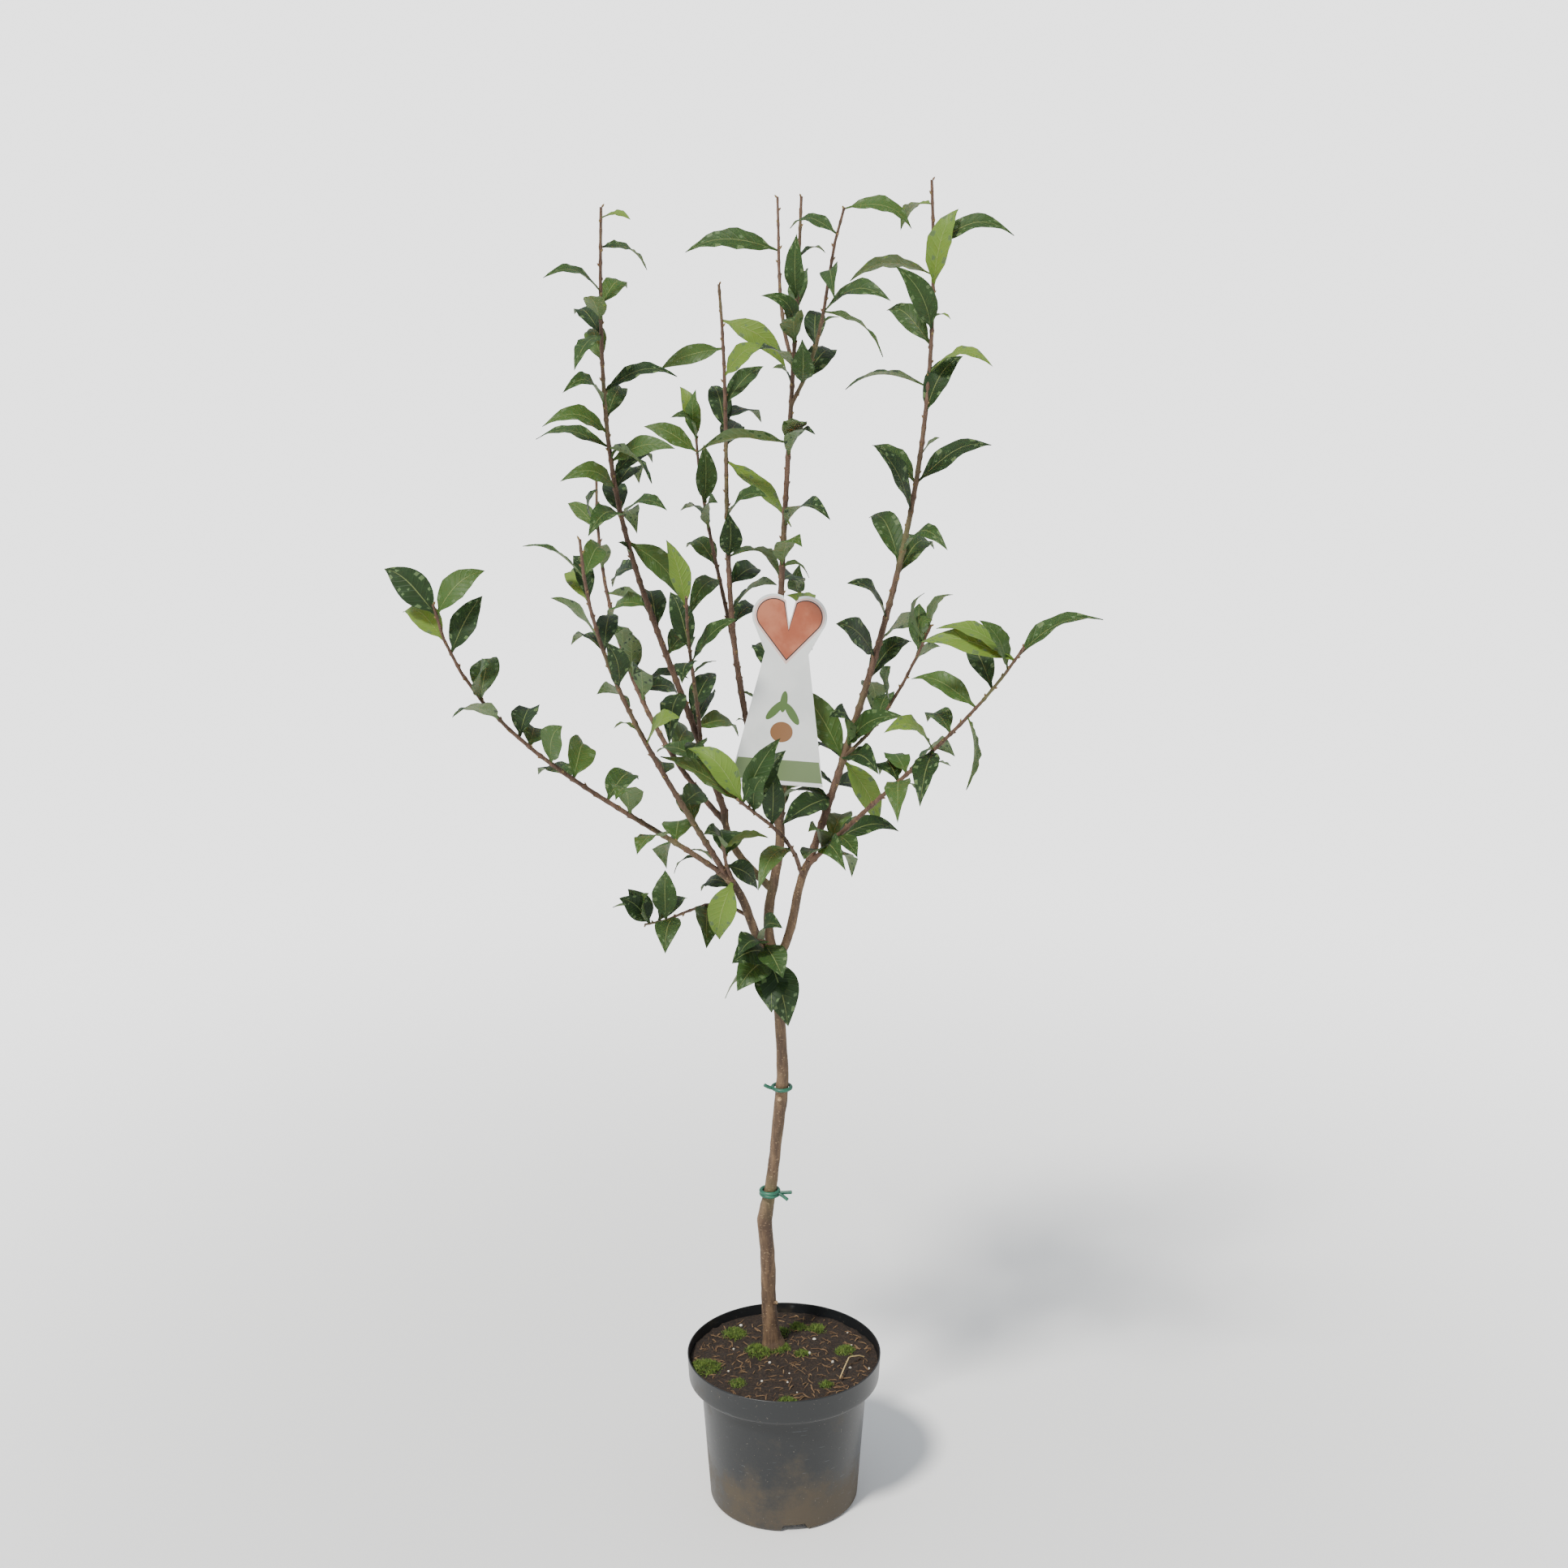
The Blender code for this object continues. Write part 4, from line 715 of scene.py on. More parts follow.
def leafMaterial(name, colour, veinColour):
    # a leathery leaf: paler midrib, herringbone side veins that the blade puffs up between, soft sheen
    material, tree, shader = newMaterial(name)
    uv = addNode(tree, "ShaderNodeUVMap", dict(uv_map="blade")).outputs[0]
    split = addNode(tree, "ShaderNodeSeparateXYZ", Vector=uv)
    across = maths(tree, "ABSOLUTE", maths(tree, "SUBTRACT", split.outputs[0], 0.5))
    slanted = maths(tree, "SUBTRACT", split.outputs[1], maths(tree, "MULTIPLY", across, 0.30))
    saw = maths(tree, "FRACT", maths(tree, "MULTIPLY", slanted, leafPlan["sideVeins"]))
    ridge = maths(tree, "ABSOLUTE", maths(tree, "SUBTRACT", saw, 0.5))
    vein = maths(tree, "SUBTRACT", 1.0, stepped(tree, ridge, 0.03, 0.16))
    rib = maths(tree, "SUBTRACT", 1.0, stepped(tree, across, 0.008, 0.026))
    base = mixed(tree, maths(tree, "MULTIPLY", spots(tree, 30, 2.0), 0.10), colour, veinColour)
    veined = mixed(tree, maths(tree, "MULTIPLY", vein, 0.16), base, veinColour)
    ribbed = mixed(tree, maths(tree, "MULTIPLY", rib, 0.42), veined, leafPlan["rib"])
    setInputs(tree, shader, Base_Color=ribbed, Roughness=0.52, Specular_IOR_Level=0.26,
              Subsurface_Weight=0.04)
    fine = spots(tree, 1500, 2.0)
    height = maths(tree, "ADD", maths(tree, "MULTIPLY", vein, -1.0), maths(tree, "MULTIPLY", fine, 0.25))
    height = maths(tree, "SUBTRACT", height, maths(tree, "MULTIPLY", rib, 1.2))
    bump(tree, shader, height, 0.0006, 0.55)
    return material


def makeLeaves(limbs, around):
    # one piece for each tone: the tones are drawn by their shares, with more young leaves at the tips
    under = leafMaterial("leaf_under", *leafPlan["under"])
    names = list(leafPlan["tones"])
    lists = {name: [] for name in names}
    edges = np.cumsum(leafPlan["toneShares"])
    rng = np.random.default_rng(leafPlan["seed"])
    for spec in shoots:
        placed = placeLeaves(spec, limbs[spec["name"]], around)
        for k, leaf in enumerate(placed):
            tone = names[int(np.searchsorted(edges, min(rng.random(), 0.999)))]
            if k / max(1, len(placed) - 1) > leafPlan["youngFrom"] and rng.random() < 0.5:
                tone = "young"
            lists[tone].append(leafMesh(leaf, rng))
    for name, (colour, veinColour) in leafPlan["tones"].items():
        top = leafMaterial("leaf_" + name, colour, veinColour)
        points, quads, uvs, kinds = zip(*lists[name])
        piece = finishPiece("leaves_" + name, *joinedMeshes(zip(points, quads)), [top, under], "foliage",
                            np.concatenate(uvs), np.concatenate(kinds))
        print(piece.name, len(lists[name]), len(piece.data.polygons))


# Pot of five litres

potPlan = dict(height=0.191, wall=0.0018, footRadius=0.0895, footRounding=0.005, sides=192,
               neckRadius=0.100,  # where the wall ends under the rim band
               bandLow=0.160, bandRadii=(0.1142, 0.1158), lip=0.0008,
               notchAngles=(-82, 38, 158), notchHeight=0.0095,
               notchWidths=(0.037, 0.025), notchReach=(0.068, 0.100),  # at the ground and roof, from and to
               colour="#191b1d", dirt="#4f4433", scratch="#5d6366", speck="#93897a")


def wallRadius(height, inset):
    share = (height - potPlan["footRounding"]) / (potPlan["bandLow"] - potPlan["footRounding"])
    return potPlan["footRadius"] + (potPlan["neckRadius"] - potPlan["footRadius"]) * share - inset


def bandRadius(height, inset):
    low, high = potPlan["bandRadii"]
    share = (height - potPlan["bandLow"]) / (potPlan["height"] - potPlan["bandLow"])
    return low + (high - low) * share - inset


def potMaterial():
    # moulded polypropylene, nearly black: brown film towards the foot, scratches and fine specks
    material, tree, shader = newMaterial("pot_plastic_worn")
    place = addNode(tree, "ShaderNodeTexCoord").outputs["Object"]
    level = addNode(tree, "ShaderNodeSeparateXYZ", Vector=place).outputs[2]
    film = spots(tree, 16, 6.0, 0.7)
    low = maths(tree, "SUBTRACT", 1.0, stepped(tree, level, 0.005, 0.115))
    dirty = stepped(tree, maths(tree, "ADD", film, maths(tree, "MULTIPLY", low, 0.30)), 0.52, 0.86)
    base = mixed(tree, maths(tree, "MULTIPLY", dirty, 0.78), potPlan["colour"], potPlan["dirt"])
    speck = stepped(tree, spots(tree, 420, 2.0), 0.70, 0.76)
    specked = mixed(tree, maths(tree, "MULTIPLY", speck, 0.55), base, potPlan["speck"])
    scratches = stepped(tree, spots(tree, 55, 3.0, 0.5, (1, 1, 9)), 0.69, 0.73)
    scratched = mixed(tree, maths(tree, "MULTIPLY", scratches, 0.35), specked, potPlan["scratch"])
    rough = addNode(tree, "ShaderNodeMapRange", Value=dirty, To_Min=0.36, To_Max=0.68).outputs[0]
    setInputs(tree, shader, Base_Color=scratched, Roughness=rough)
    bump(tree, shader, spots(tree, 700, 3.0), 0.00015, 0.35)
    return material


def turnedSurface(profile, sides):
    # profile of (radius, height) swept round Z: x = r cos a, y = r sin a. Its ends lie on the axis.
    ring = np.arange(sides) * 2 * math.pi / sides
    radii, heights = np.array(profile[1:-1]).T[:, :, None]
    points = np.stack((radii * np.cos(ring), radii * np.sin(ring), heights + 0 * ring), axis=-1)
    ends = ((0, 0, profile[0][1]), (0, 0, profile[-1][1]))
    return np.concatenate((points.reshape(-1, 3), ends)), closedRings(len(radii), sides)


def notchBlock(name, grown, angle, reach, low, high):
    # block with a trapezoid face, laid out from the pot's middle at an angle
    halfLow, halfHigh = (width / 2 + grown for width in potPlan["notchWidths"])
    face = ((-halfLow, low), (halfLow, low), (halfHigh, high), (-halfHigh, high))
    turn = math.radians(angle)
    vertices = []
    for out in reach:
        for across, height in face:
            vertices.append((out * math.cos(turn) - across * math.sin(turn),
                             out * math.sin(turn) + across * math.cos(turn), height))
    mesh = bpy.data.meshes.new(name)
    around = [(k, (k + 1) % 4, (k + 1) % 4 + 4, k + 4) for k in range(4)]
    mesh.from_pydata(vertices, [], [(3, 2, 1, 0), (4, 5, 6, 7)] + around)
    block = bpy.data.objects.new(name, mesh)
    bpy.context.scene.collection.objects.link(block)
    return block


def potProfile():
    # from the middle of the foot up the outside, over the lip and down the inside
    rounding, wall, low, lip = (potPlan[key] for key in ("footRounding", "wall", "bandLow", "lip"))
    bandFoot, bandTop = potPlan["bandRadii"]
    top, neck = potPlan["height"], potPlan["neckRadius"]
    profile = [(0.0, 0.0), (0.060, 0.0006)]
    profile += [(potPlan["footRadius"] - rounding + rounding * math.sin(a), rounding - rounding * math.cos(a))
                for a in np.radians(np.linspace(0, 90, 9))]
    profile += [(wallRadius(z, 0), z) for z in np.linspace(0.02, low - 0.012, 9)]
    # the wall turns out in a small shelf under the band
    profile += [(wallRadius(low - 0.006, 0), low - 0.0075), (neck + 0.0012, low - 0.0040),
                (neck + 0.0075, low - 0.0016), (bandFoot - 0.0014, low - 0.0006),
                (bandFoot - 0.0002, low + 0.0008)]
    profile += [(bandRadius(z, 0), z) for z in np.linspace(low + 0.003, top - 2 * lip, 6)]
    profile += [(bandTop - lip + lip * math.cos(a), top - lip + lip * math.sin(a))
                for a in np.radians(np.linspace(0, 150, 7))]
    profile += [(bandRadius(z, wall), z) for z in (0.185, 0.166)]
    profile += [(wallRadius(z, wall), z) for z in (0.158, 0.02)]
    return profile + [(0.080, 0.0034), (0.0, 0.0032)]


def makePot():
    # the notches in the foot are let in last: housings are joined on inside, then the notches are cut out
    turned = turnedSurface(potProfile(), potPlan["sides"])
    pot = finishPiece("pot_shell", *turned, [potMaterial()], "pot_plastic")
    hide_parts("pot")
    inner, outer = potPlan["notchReach"]
    roof = potPlan["notchHeight"]
    for angle in potPlan["notchAngles"]:
        for operation, grown, reach, low, high in (
                ("UNION", 0.002, (inner - 0.002, 0.0835), 0.001, roof + potPlan["wall"]),
                ("DIFFERENCE", 0.0, (inner, outer), -0.001, roof)):
            block = notchBlock("notch", grown, angle, reach, low, high)
            cut = pot.modifiers.new("notch", "BOOLEAN")
            cut.operation = operation
            cut.object = block
            graph = bpy.context.evaluated_depsgraph_get()
            pot.data = bpy.data.meshes.new_from_object(pot.evaluated_get(graph))
            pot.modifiers.clear()
            bpy.data.objects.remove(block, do_unlink=True)
    pot.data.set_sharp_from_angle(angle=math.radians(32))
    print("pot", len(pot.data.polygons))


# Compost and what lies on it

compostPlan = dict(top=0.178, skirt=0.010, rings=70, turns=220, relief=0.0048,
                   colour="#1f1610", light="#4d3b2a")
litterPlan = dict(seed=61, clearOfWall=0.008, clearOfTrunk=0.018,
                  fibres=366, fibreColour="#5e4630", fibreLight="#8d7250",
                  grit=17, gritColour="#d8d4c8", gritDark="#b3ab9a", straw="#c3ab78", strawDark="#a58c5c",
                  strawRadius=0.0008)
strawLine = np.array(((0.066, -0.052, 0.184), (0.072, -0.030, 0.186), (0.078, -0.012, 0.189),
                      (0.090, -0.004, 0.186), (0.096, 0.000, 0.182)))
# Moss tufts: middle in x and y, and radius
mossPlan = dict(colour="#465c22", light="#6f8436", bladesPerTuft=420, bladeHalfWidth=0.00055, tufts=(
    (-0.094, -0.020, 0.020), (-0.030, 0.018, 0.017), (-0.005, 0.026, 0.014), (0.022, 0.012, 0.010),
    (0.074, 0.020, 0.013), (-0.004, 0.062, 0.012), (0.018, 0.074, 0.012), (-0.060, 0.060, 0.016),
    (0.004, -0.096, 0.012), (0.050, -0.060, 0.009), (-0.055, -0.055, 0.010), (0.040, 0.072, 0.012)))


def groundHeight(x, y):
    # crumbly surface, as summed noise: slow dips, lumps, crumbs and grain
    place = np.stack((x, y, 0 * x), axis=-1).astype(np.float32)
    relief = compostPlan["relief"]
    return (compostPlan["top"] + 0.0018 * noiseAt(place * 22) + relief * 0.45 * noiseAt(place * 90)
            + relief * 0.30 * abs(noiseAt(place * 260)) + 0.0006 * noiseAt(place * 700))


def makeCompost():
    # damp peat, dark and matt with lighter crumbs: x = r cos a, y = r sin a, z from groundHeight, and a skirt
    # that goes down at the wall
    soil, tree, shader = newMaterial("damp_compost")
    crumbs = spots(tree, 330, 8.0, 0.75)
    shades = mixed(tree, stepped(tree, crumbs, 0.42, 0.75), compostPlan["colour"], compostPlan["light"])
    setInputs(tree, shader, Base_Color=shades, Roughness=0.92)
    bump(tree, shader, crumbs, 0.0022, 1.0)
    rings, turns, foot = compostPlan["rings"], compostPlan["turns"], compostPlan["top"] - compostPlan["skirt"]
    edge = bandRadius(compostPlan["top"], potPlan["wall"]) - 0.0005
    angles = np.arange(turns) * 2 * math.pi / turns
    radii = edge * np.r_[np.linspace(0.01, 1.0, rings), 1.0][:, None]
    x, y = radii * np.cos(angles), radii * np.sin(angles)
    z = np.concatenate((groundHeight(x[:-1], y[:-1]), np.full((1, turns), foot)))
    ends = ((0, 0, groundHeight(0, 0)), (0, 0, foot))
    vertices = np.concatenate((np.stack((x, y, z), axis=-1).reshape(-1, 3), ends))
    faces = [face[::-1] for face in closedRings(rings + 1, turns)]
    piece = finishPiece("compost_surface", vertices, faces, [soil], "compost")
    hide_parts("compost")
    print("compost", len(piece.data.polygons))


def anyPlace(rng, reach):
    # a place on the compost, by radius and angle
    radius = reach * math.sqrt(rng.random())
    angle = rng.uniform(0, 2 * math.pi)
    return radius * math.cos(angle), radius * math.sin(angle)


def makeFibres(rng, reach):
    # curled bits of bark and root: thin tubes along a shallow parabola that lies on the ground
    parts = []
    _, trunkX, trunkY, _ = trunkLevels[0]
    s = np.linspace(-0.5, 0.5, 5)
    for _ in range(litterPlan["fibres"]):
        x, y = anyPlace(rng, reach)
        if math.hypot(x - trunkX, y - trunkY) < litterPlan["clearOfTrunk"]:
            continue
        heading = rng.uniform(0, 2 * math.pi)
        size = rng.uniform(0.004, 0.013)
        curl = rng.uniform(-0.3, 0.3)
        px = x + size * (s * math.cos(heading) - curl * s**2 * math.sin(heading))
        py = y + size * (s * math.sin(heading) + curl * s**2 * math.cos(heading))
        pz = groundHeight(px, py) + 0.0004 + 0.0012 * (1 - 4 * s**2) * rng.random()
        thick = rng.uniform(0.00025, 0.0008)
        parts.append(tubeMesh(np.stack((px, py, pz), axis=1), thick * (1.1 - 1.4 * s**2), 4))
    # dry bark and root, matt and unevenly faded
    fibre = plainMaterial("bark_fibres", litterPlan["fibreColour"], 0.85, litterPlan["fibreLight"], 150,
                          low=0.35, high=0.75)
    finishPiece("compost_fibres", *joinedMeshes(parts), [fibre], "compost")


def makeGrit(rng, reach):
    # white grit: small uneven balls, half sunk
    parts = []
    share = np.linspace(0.06, 0.94, 6) * math.pi
    for _ in range(litterPlan["grit"]):
        x, y = anyPlace(rng, reach)
        size = rng.uniform(0.0009, 0.0022)
        centre = np.array((x, y, groundHeight(x, y) + 0.4 * size))
        line = centre + np.stack((0 * share, 0 * share, -size * np.cos(share)), axis=1)
        parts.append(tubeMesh(line, size * np.sin(share) * rng.uniform(0.8, 1.2, 6), 8))
    grit = plainMaterial("grit", litterPlan["gritColour"], 0.8, litterPlan["gritDark"], 900)
    finishPiece("white_grit", *joinedMeshes(parts), [grit], "compost")


def spikes(bases, tips, width, rng):
    # three-sided spikes from each base to its tip, as whole arrays
    along = tips - bases
    side = np.cross(along, rng.normal(size=along.shape))
    side /= np.linalg.norm(side, axis=1)[:, None]
    other = np.cross(along, side)
    other /= np.linalg.norm(other, axis=1)[:, None]
    corners = [bases + width * (side * math.cos(a) + other * math.sin(a)) for a in np.radians((0, 120, 240))]
    vertices = np.stack(corners + [tips], axis=1).reshape(-1, 3)
    start = np.arange(len(bases))[:, None] * 4
    faces = np.concatenate([start + corner for corner in ((2, 1, 0), (0, 1, 3), (1, 2, 3), (2, 0, 3))])
    return vertices, faces


def makeMoss(rng, reach):
    # moss in low cushions: blades that lean every way from a dome
    bases = []
    tips = []
    for x, y, size in mossPlan["tufts"]:
        count = int(mossPlan["bladesPerTuft"] * (size / 0.014) ** 2)
        radius = size * np.sqrt(rng.random(count)) * rng.uniform(0.7, 1.1, count)
        angle = rng.uniform(0, 2 * math.pi, count)
        px = x + radius * np.cos(angle)
        py = y + radius * np.sin(angle)
        inside = np.hypot(px, py) < reach + 0.005
        px, py, radius = px[inside], py[inside], radius[inside]
        dome = 0.30 * size * np.clip(1 - (radius / size) ** 2, 0, 1)
        base = np.stack((px, py, groundHeight(px, py) + dome - 0.001), axis=1)
        lean = rng.normal(size=base.shape) * (0.6, 0.6, 0.3) + (0, 0, 1.0)
        lean /= np.linalg.norm(lean, axis=1)[:, None]
        bases.append(base)
        tips.append(base + lean * rng.uniform(0.0022, 0.0050, (len(base), 1)))
    moss = plainMaterial("moss", mossPlan["colour"], 0.75, mossPlan["light"], 220)
    blades = spikes(np.concatenate(bases), np.concatenate(tips), mossPlan["bladeHalfWidth"], rng)
    finishPiece("moss_tufts", *blades, [moss], "compost", smooth=False)


def makeLitter():
    rng = np.random.default_rng(litterPlan["seed"])
    reach = bandRadius(compostPlan["top"], potPlan["wall"]) - litterPlan["clearOfWall"]
    makeFibres(rng, reach)
    makeGrit(rng, reach)
    makeMoss(rng, reach)
    line = evenLine(strawLine, 0.004)
    tube = tubeMesh(line, np.full(len(line), litterPlan["strawRadius"]), 8)
    # bleached straw with a faint shine
    stalk = plainMaterial("dry_straw", litterPlan["straw"], 0.6, litterPlan["strawDark"], 300)
    finishPiece("straw", *tube, [stalk], "compost")
    print("litter done")


# Soft green tubes tied round the trunk. Tails are heading in degrees from +X, length and rise.

ties = (
    dict(name="lower_tie", height=0.3905, turns=2, tails=((-12, 0.016, 0.002), (-25, 0.013, -0.006))),
    dict(name="upper_tie", height=0.5290, turns=1, tails=((-165, 0.010, 0.005),)),
)
tiePlan = dict(radius=0.0022, slack=0.0007, spacing=1.7, sides=16, turns=48, tailSides=14, tailRings=12,
               colour="#1f5140", light="#2b6a52")


def makeTies(limbs):
    # each turn is a ring of circles, (R + r cos b) round the trunk and r sin b up, and each tail a bent tube
    # of soft PVC, dark green and half glossy
    rubber = plainMaterial("tie_rubber", tiePlan["colour"], 0.42, tiePlan["light"], 90)
    trunk = limbs["trunk"]
    heights = trunk.points[:, 2]
    radius = tiePlan["radius"]
    angles = np.linspace(0, 2 * math.pi, tiePlan["turns"] + 1)[:-1, None]
    around = np.arange(tiePlan["sides"]) * 2 * math.pi / tiePlan["sides"]
    share = np.linspace(0, 1, tiePlan["tailRings"])[:, None]
    faces = gridFaces(len(angles), len(around), closed=True, looped=True)[:, ::-1]
    for spec in ties:
        centre = pointWhere(spec["height"], heights, trunk.points)
        ring = float(np.interp(spec["height"], heights, trunk.radii)) + gap + radius + tiePlan["slack"]
        parts = []
        for turn in range(spec["turns"]):
            level = (turn - (spec["turns"] - 1) / 2) * tiePlan["spacing"] * radius
            out = ring + radius * np.cos(around)[None]
            rise = np.broadcast_to(level + radius * np.sin(around)[None], (len(angles), len(around)))
            points = np.stack((out * np.cos(angles), out * np.sin(angles), rise), axis=-1)
            parts.append((points.reshape(-1, 3) + centre, faces))
        for heading, length, rise in spec["tails"]:
            angle = math.radians(heading)
            out = np.array((math.cos(angle), math.sin(angle), 0.0))
            line = centre + out * (ring + length * share) + up * (rise * share**1.5)
            parts.append(tubeMesh(line, np.full(len(line), radius * 0.96), tiePlan["tailSides"]))
        tie = finishPiece(spec["name"] + "_tube", *joinedMeshes(parts), [rubber], "tie_tube")
        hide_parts(spec["name"])
    print("ties done")


# Name card, hung on the leader by a loop of its own plastic. Points on it are across and down from its top.

cardPlan = dict(thickness=0.0009, height=0.211, lobeRadius=0.0235, lobeOffset=0.0175, notchDepth=0.030,
                waist=(0.024, 0.064), footHalf=0.0535, top=(0.0080, 0.0004, 1.114),
                turn=4.5, tilt=5.0,  # degrees, clockwise as seen from the front, and foot towards the front
                loopDrop=0.036, loopWire=0.0008, plastic="#eef0ee", cloud="#e2e5e3", inkRoughness=0.3)
# Prints: a plain heart with an edge and a line, a band, a sprig and a fruit
printPlan = dict(layer=0.00006, motif=0.00008, overlap=0.00003, sunk=0.0001, edge="#e3c4bb", line="#3a2a28",
                 heart="#a5573a", heartLight="#bd7455", band="#6c7f55", fruit="#8a6240", sprig="#55703c")


def cardPoint(acrossBy, downBy, backBy=0.0):
    turn, tilt = math.radians(cardPlan["turn"]), math.radians(cardPlan["tilt"])
    across = np.array((math.cos(turn), 0.0, -math.sin(turn)))
    down = np.array((-math.sin(turn) * math.cos(tilt), -math.sin(tilt), -math.cos(turn) * math.cos(tilt)))
    return np.array(cardPlan["top"]) + across * acrossBy + down * downBy + np.cross(across, down) * backBy


def cardHalf(down):
    # half width of the card at a distance below its top
    waist, waistDown = cardPlan["waist"]
    if down > waistDown:
        return waist + (cardPlan["footHalf"] - waist) * (down - waistDown) / (cardPlan["height"] - waistDown)
    return cardPlan["lobeRadius"] + cardPlan["lobeOffset"]


def slab(outline, front, back):
    # flat plate between two depths of the card
    points = [cardPoint(u, w, depth) for depth in (front, back) for u, w in outline]
    count = len(outline)
    faces = [list(range(count))[::-1], list(range(count, 2 * count))]
    for k in range(count):
        after = (k + 1) % count
        faces.append([k, after, count + after, count + k])
    return np.array(points), faces


def mirrored(half):
    # whole outline from its right half, which starts on the middle line
    inner = [point for point in half if abs(point[0]) > 1e-6]
    end = [half[-1]] if abs(half[-1][0]) < 1e-6 else []
    return [half[0]] + inner + end + [(-u, w) for u, w in inner[::-1]]


def lobe(radius, fromAngle, toAngle, count):
    # arc of one of the two round lobes at the card's top
    return [(cardPlan["lobeOffset"] + radius * math.cos(a), cardPlan["lobeRadius"] - radius * math.sin(a))
            for a in np.radians(np.linspace(fromAngle, toAngle, count))]


def cardShape():
    foot, height = cardPlan["footHalf"], cardPlan["height"]
    half = [(0.0, cardPlan["notchDepth"])] + lobe(cardPlan["lobeRadius"], 112, -32, 40)
    return mirrored(half + [cardPlan["waist"], (foot - 0.002, height - 0.0005), (foot - 0.004, height)])


def heartOutline(inset):
    # two round lobes whose sides run down to one point
    arc = [(max(u, 0.004 + inset), w) for u, w in lobe(cardPlan["lobeRadius"] - 0.0025 - inset, 126, -38, 34)]
    return mirrored([(0.0, 0.036 + 1.2 * inset)] + arc + [(0.0, 0.0765 - 1.7 * inset)])


def oval(u, w, wide, tall, turn, count=28):
    angle = math.radians(turn)
    ring = [(wide * math.cos(a), tall * math.sin(a)) for a in np.arange(count) * 2 * math.pi / count]
    return [(u + x * math.cos(angle) - y * math.sin(angle), w + x * math.sin(angle) + y * math.cos(angle))
            for x, y in ring]


def makePrints():
    # thin slabs that stand on the card's face, each ink a layer above the one under it
    face = -cardPlan["thickness"] / 2
    rough = cardPlan["inkRoughness"]
    for layer, (name, inset, second) in enumerate((("edge", 0.0, None), ("line", 0.0022, None),
                                                   ("heart", 0.0034, printPlan["heartLight"])), start=1):
        piece = "card_heart" if name == "heart" else "card_heart_" + name
        ink = plainMaterial(piece + "_ink", printPlan[name], rough, second, 20)
        plate = slab(heartOutline(inset), face - printPlan["layer"] * layer, face + printPlan["sunk"])
        finishPiece(piece, *plate, [ink], "card_plastic", smooth=False)
    motifs = dict(band=[[(-0.045, 0.183), (0.045, 0.183), (0.0505, 0.2065), (-0.0505, 0.2065)]],
                  sprig=[oval(-0.008, 0.128, 0.0045, 0.014, 40), oval(0.011, 0.131, 0.0045, 0.014, -35),
                         oval(0.001, 0.118, 0.004, 0.012, 4)],
                  fruit=[oval(0.001, 0.152, 0.0125, 0.0115, 0)])
    for name, outlines in motifs.items():
        ink = plainMaterial("card_" + name + "_ink", printPlan[name], rough)
        parts = [slab(outline, face - printPlan["motif"] - printPlan["overlap"] * k, face + printPlan["sunk"])
                 for k, outline in enumerate(outlines)]
        finishPiece("card_" + name, *joinedMeshes(parts), [ink], "card_plastic", smooth=False)


def makeCard(limbs):
    # sheet plastic, nearly white with a soft shine
    plastic = plainMaterial("card_face", cardPlan["plastic"], 0.34, cardPlan["cloud"], 12)
    half = cardPlan["thickness"] / 2
    card = finishPiece("card_blank", *slab(cardShape(), -half, half), [plastic], "card_plastic", smooth=False)
    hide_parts("name_card")
    makePrints()
    # the loop that holds the card to the leader
    leader = limbs["leader_shoot"]
    wire = cardPlan["loopWire"]
    level = cardPoint(0.0, cardPlan["loopDrop"])[2]
    centre = pointWhere(level, leader.points[:, 2], leader.points)
    ring = float(np.interp(level, leader.points[:, 2], leader.radii)) + gap + wire
    angles = np.linspace(0, 2 * math.pi, 41)
    loop = centre + np.stack((ring * np.sin(angles), -(ring + 0.0006) * np.cos(angles), 0 * angles), axis=1)
    finishPiece("card_loop", *tubeMesh(loop, np.full(len(loop), wire), 8), [plastic], "card_plastic")
    print("card done")


# Stage: floor, light and camera

floorPlan = dict(colour="#f6f6f5", size=60.0, level=-0.0002, fadeFrom=0.35, fadeTo=2.4, white=2.6)
lightPlan = dict(sky=(0.77, 0.81, 0.86, 1.0), skyStrength=0.85, sunStrength=4.2, sunSpread=9,
                 sunColour=(1.0, 0.97, 0.92), sunHeading=(0.55, 0.75, -1.35))


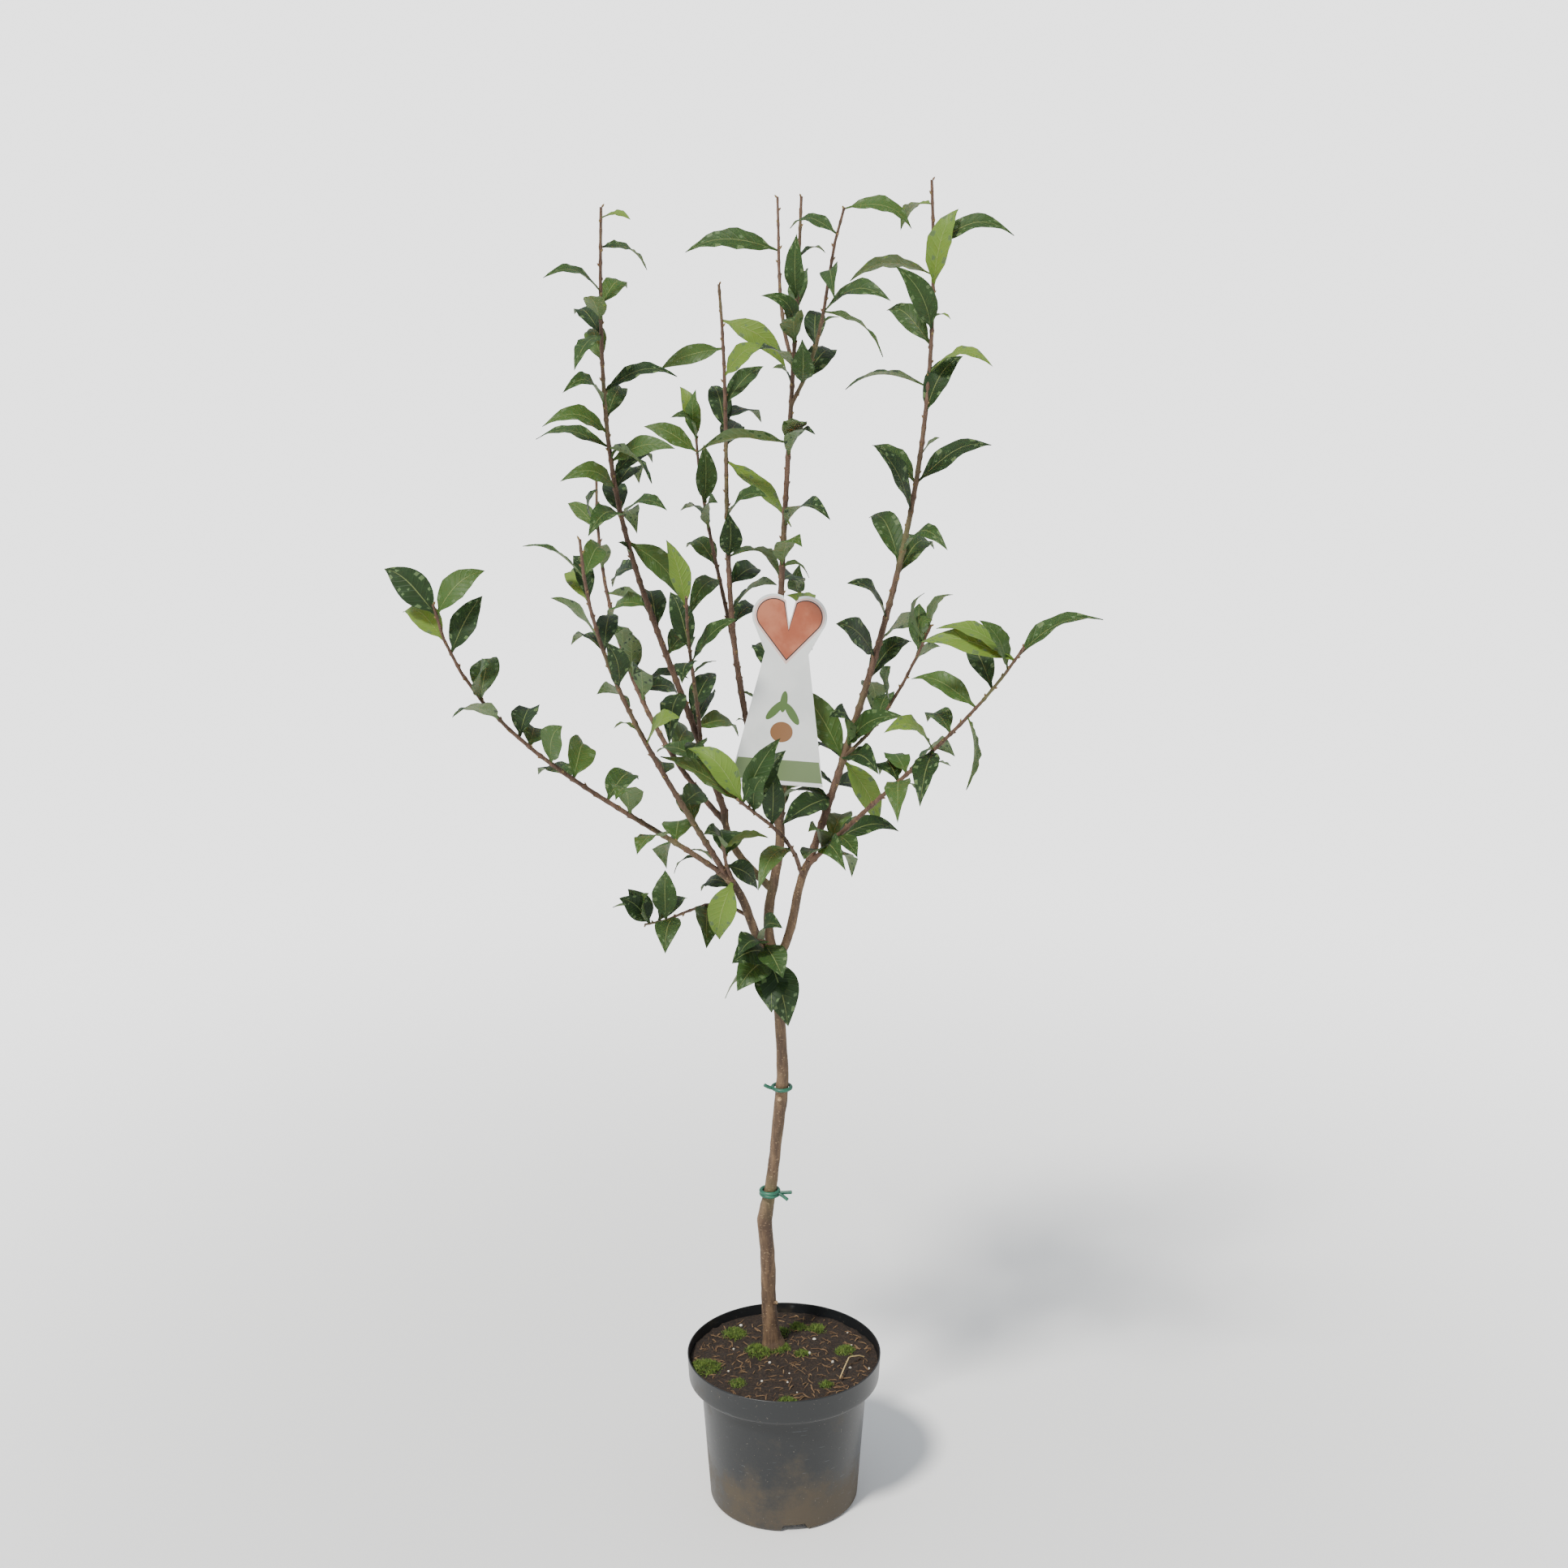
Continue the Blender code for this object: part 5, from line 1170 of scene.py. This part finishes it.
def makeFloor():
    # matt white paper. To the camera it fades into the white of the backdrop away from the pot.
    material, tree, shader = newMaterial("pale_floor")
    setInputs(tree, shader, Base_Color=floorPlan["colour"], Roughness=0.7)
    place = addNode(tree, "ShaderNodeTexCoord").outputs["Object"]
    distance = addNode(tree, "ShaderNodeVectorMath", dict(operation="LENGTH"), Vector=place).outputs["Value"]
    away = stepped(tree, distance, floorPlan["fadeFrom"], floorPlan["fadeTo"])
    glow = addNode(tree, "ShaderNodeEmission", Color=(1.0, 1.0, 1.0, 1.0), Strength=floorPlan["white"])
    seen = addNode(tree, "ShaderNodeLightPath").outputs["Is Camera Ray"]
    blend = addNode(tree, "ShaderNodeMixShader", in0=maths(tree, "MULTIPLY", away, seen),
                    in1=shader.outputs[0], in2=glow.outputs[0])
    tree.links.new(blend.outputs[0], tree.nodes["Material Output"].inputs["Surface"])
    half, level = floorPlan["size"] / 2, floorPlan["level"]
    mesh = bpy.data.meshes.new("floor")
    mesh.from_pydata([(x * half, y * half, level) for x, y in ((-1, -1), (1, -1), (1, 1), (-1, 1))], [],
                     [(0, 1, 2, 3)])
    mesh.materials.append(material)
    floor = bpy.data.objects.new("floor", mesh)
    bpy.context.scene.collection.objects.link(floor)


def makeLight():
    # a soft sun from the front left, and a sky that the camera sees as plain white
    world = bpy.data.worlds.new("studio")
    world.use_nodes = True
    tree = world.node_tree
    seen = addNode(tree, "ShaderNodeLightPath").outputs["Is Camera Ray"]
    strength = addNode(tree, "ShaderNodeMapRange", Value=seen, To_Min=lightPlan["skyStrength"],
                       To_Max=floorPlan["white"]).outputs[0]
    setInputs(tree, tree.nodes["Background"], Color=mixed(tree, seen, lightPlan["sky"], (1.0, 1.0, 1.0, 1.0)),
              Strength=strength)
    bpy.context.scene.world = world
    sun = bpy.data.lights.new("key", "SUN")
    sun.energy = lightPlan["sunStrength"]
    sun.angle = math.radians(lightPlan["sunSpread"])
    sun.color = lightPlan["sunColour"]
    lamp = bpy.data.objects.new("key", sun)
    lamp.rotation_euler = Vector(lightPlan["sunHeading"]).to_track_quat("-Z", "Y").to_euler()
    bpy.context.scene.collection.objects.link(lamp)


def makeCamera():
    camera = bpy.data.cameras.new("camera")
    camera.sensor_width = viewPlan["sensor"]
    camera.lens = viewPlan["lens"]
    viewer = bpy.data.objects.new("camera", camera)
    viewer.location = eye
    viewer.rotation_euler = (math.radians(90 - viewPlan["pitchDown"]), 0, 0)
    bpy.context.scene.collection.objects.link(viewer)
    bpy.context.scene.camera = viewer


around = Surroundings()
limbs, trunkRows = growLimbs(around)
makeWood(limbs, trunkRows)
makeShoots(limbs)
makeLeaves(limbs, around)
makePot()
makeCompost()
makeLitter()
makeTies(limbs)
makeCard(limbs)
makeFloor()
makeLight()
makeCamera()
print("stage done")
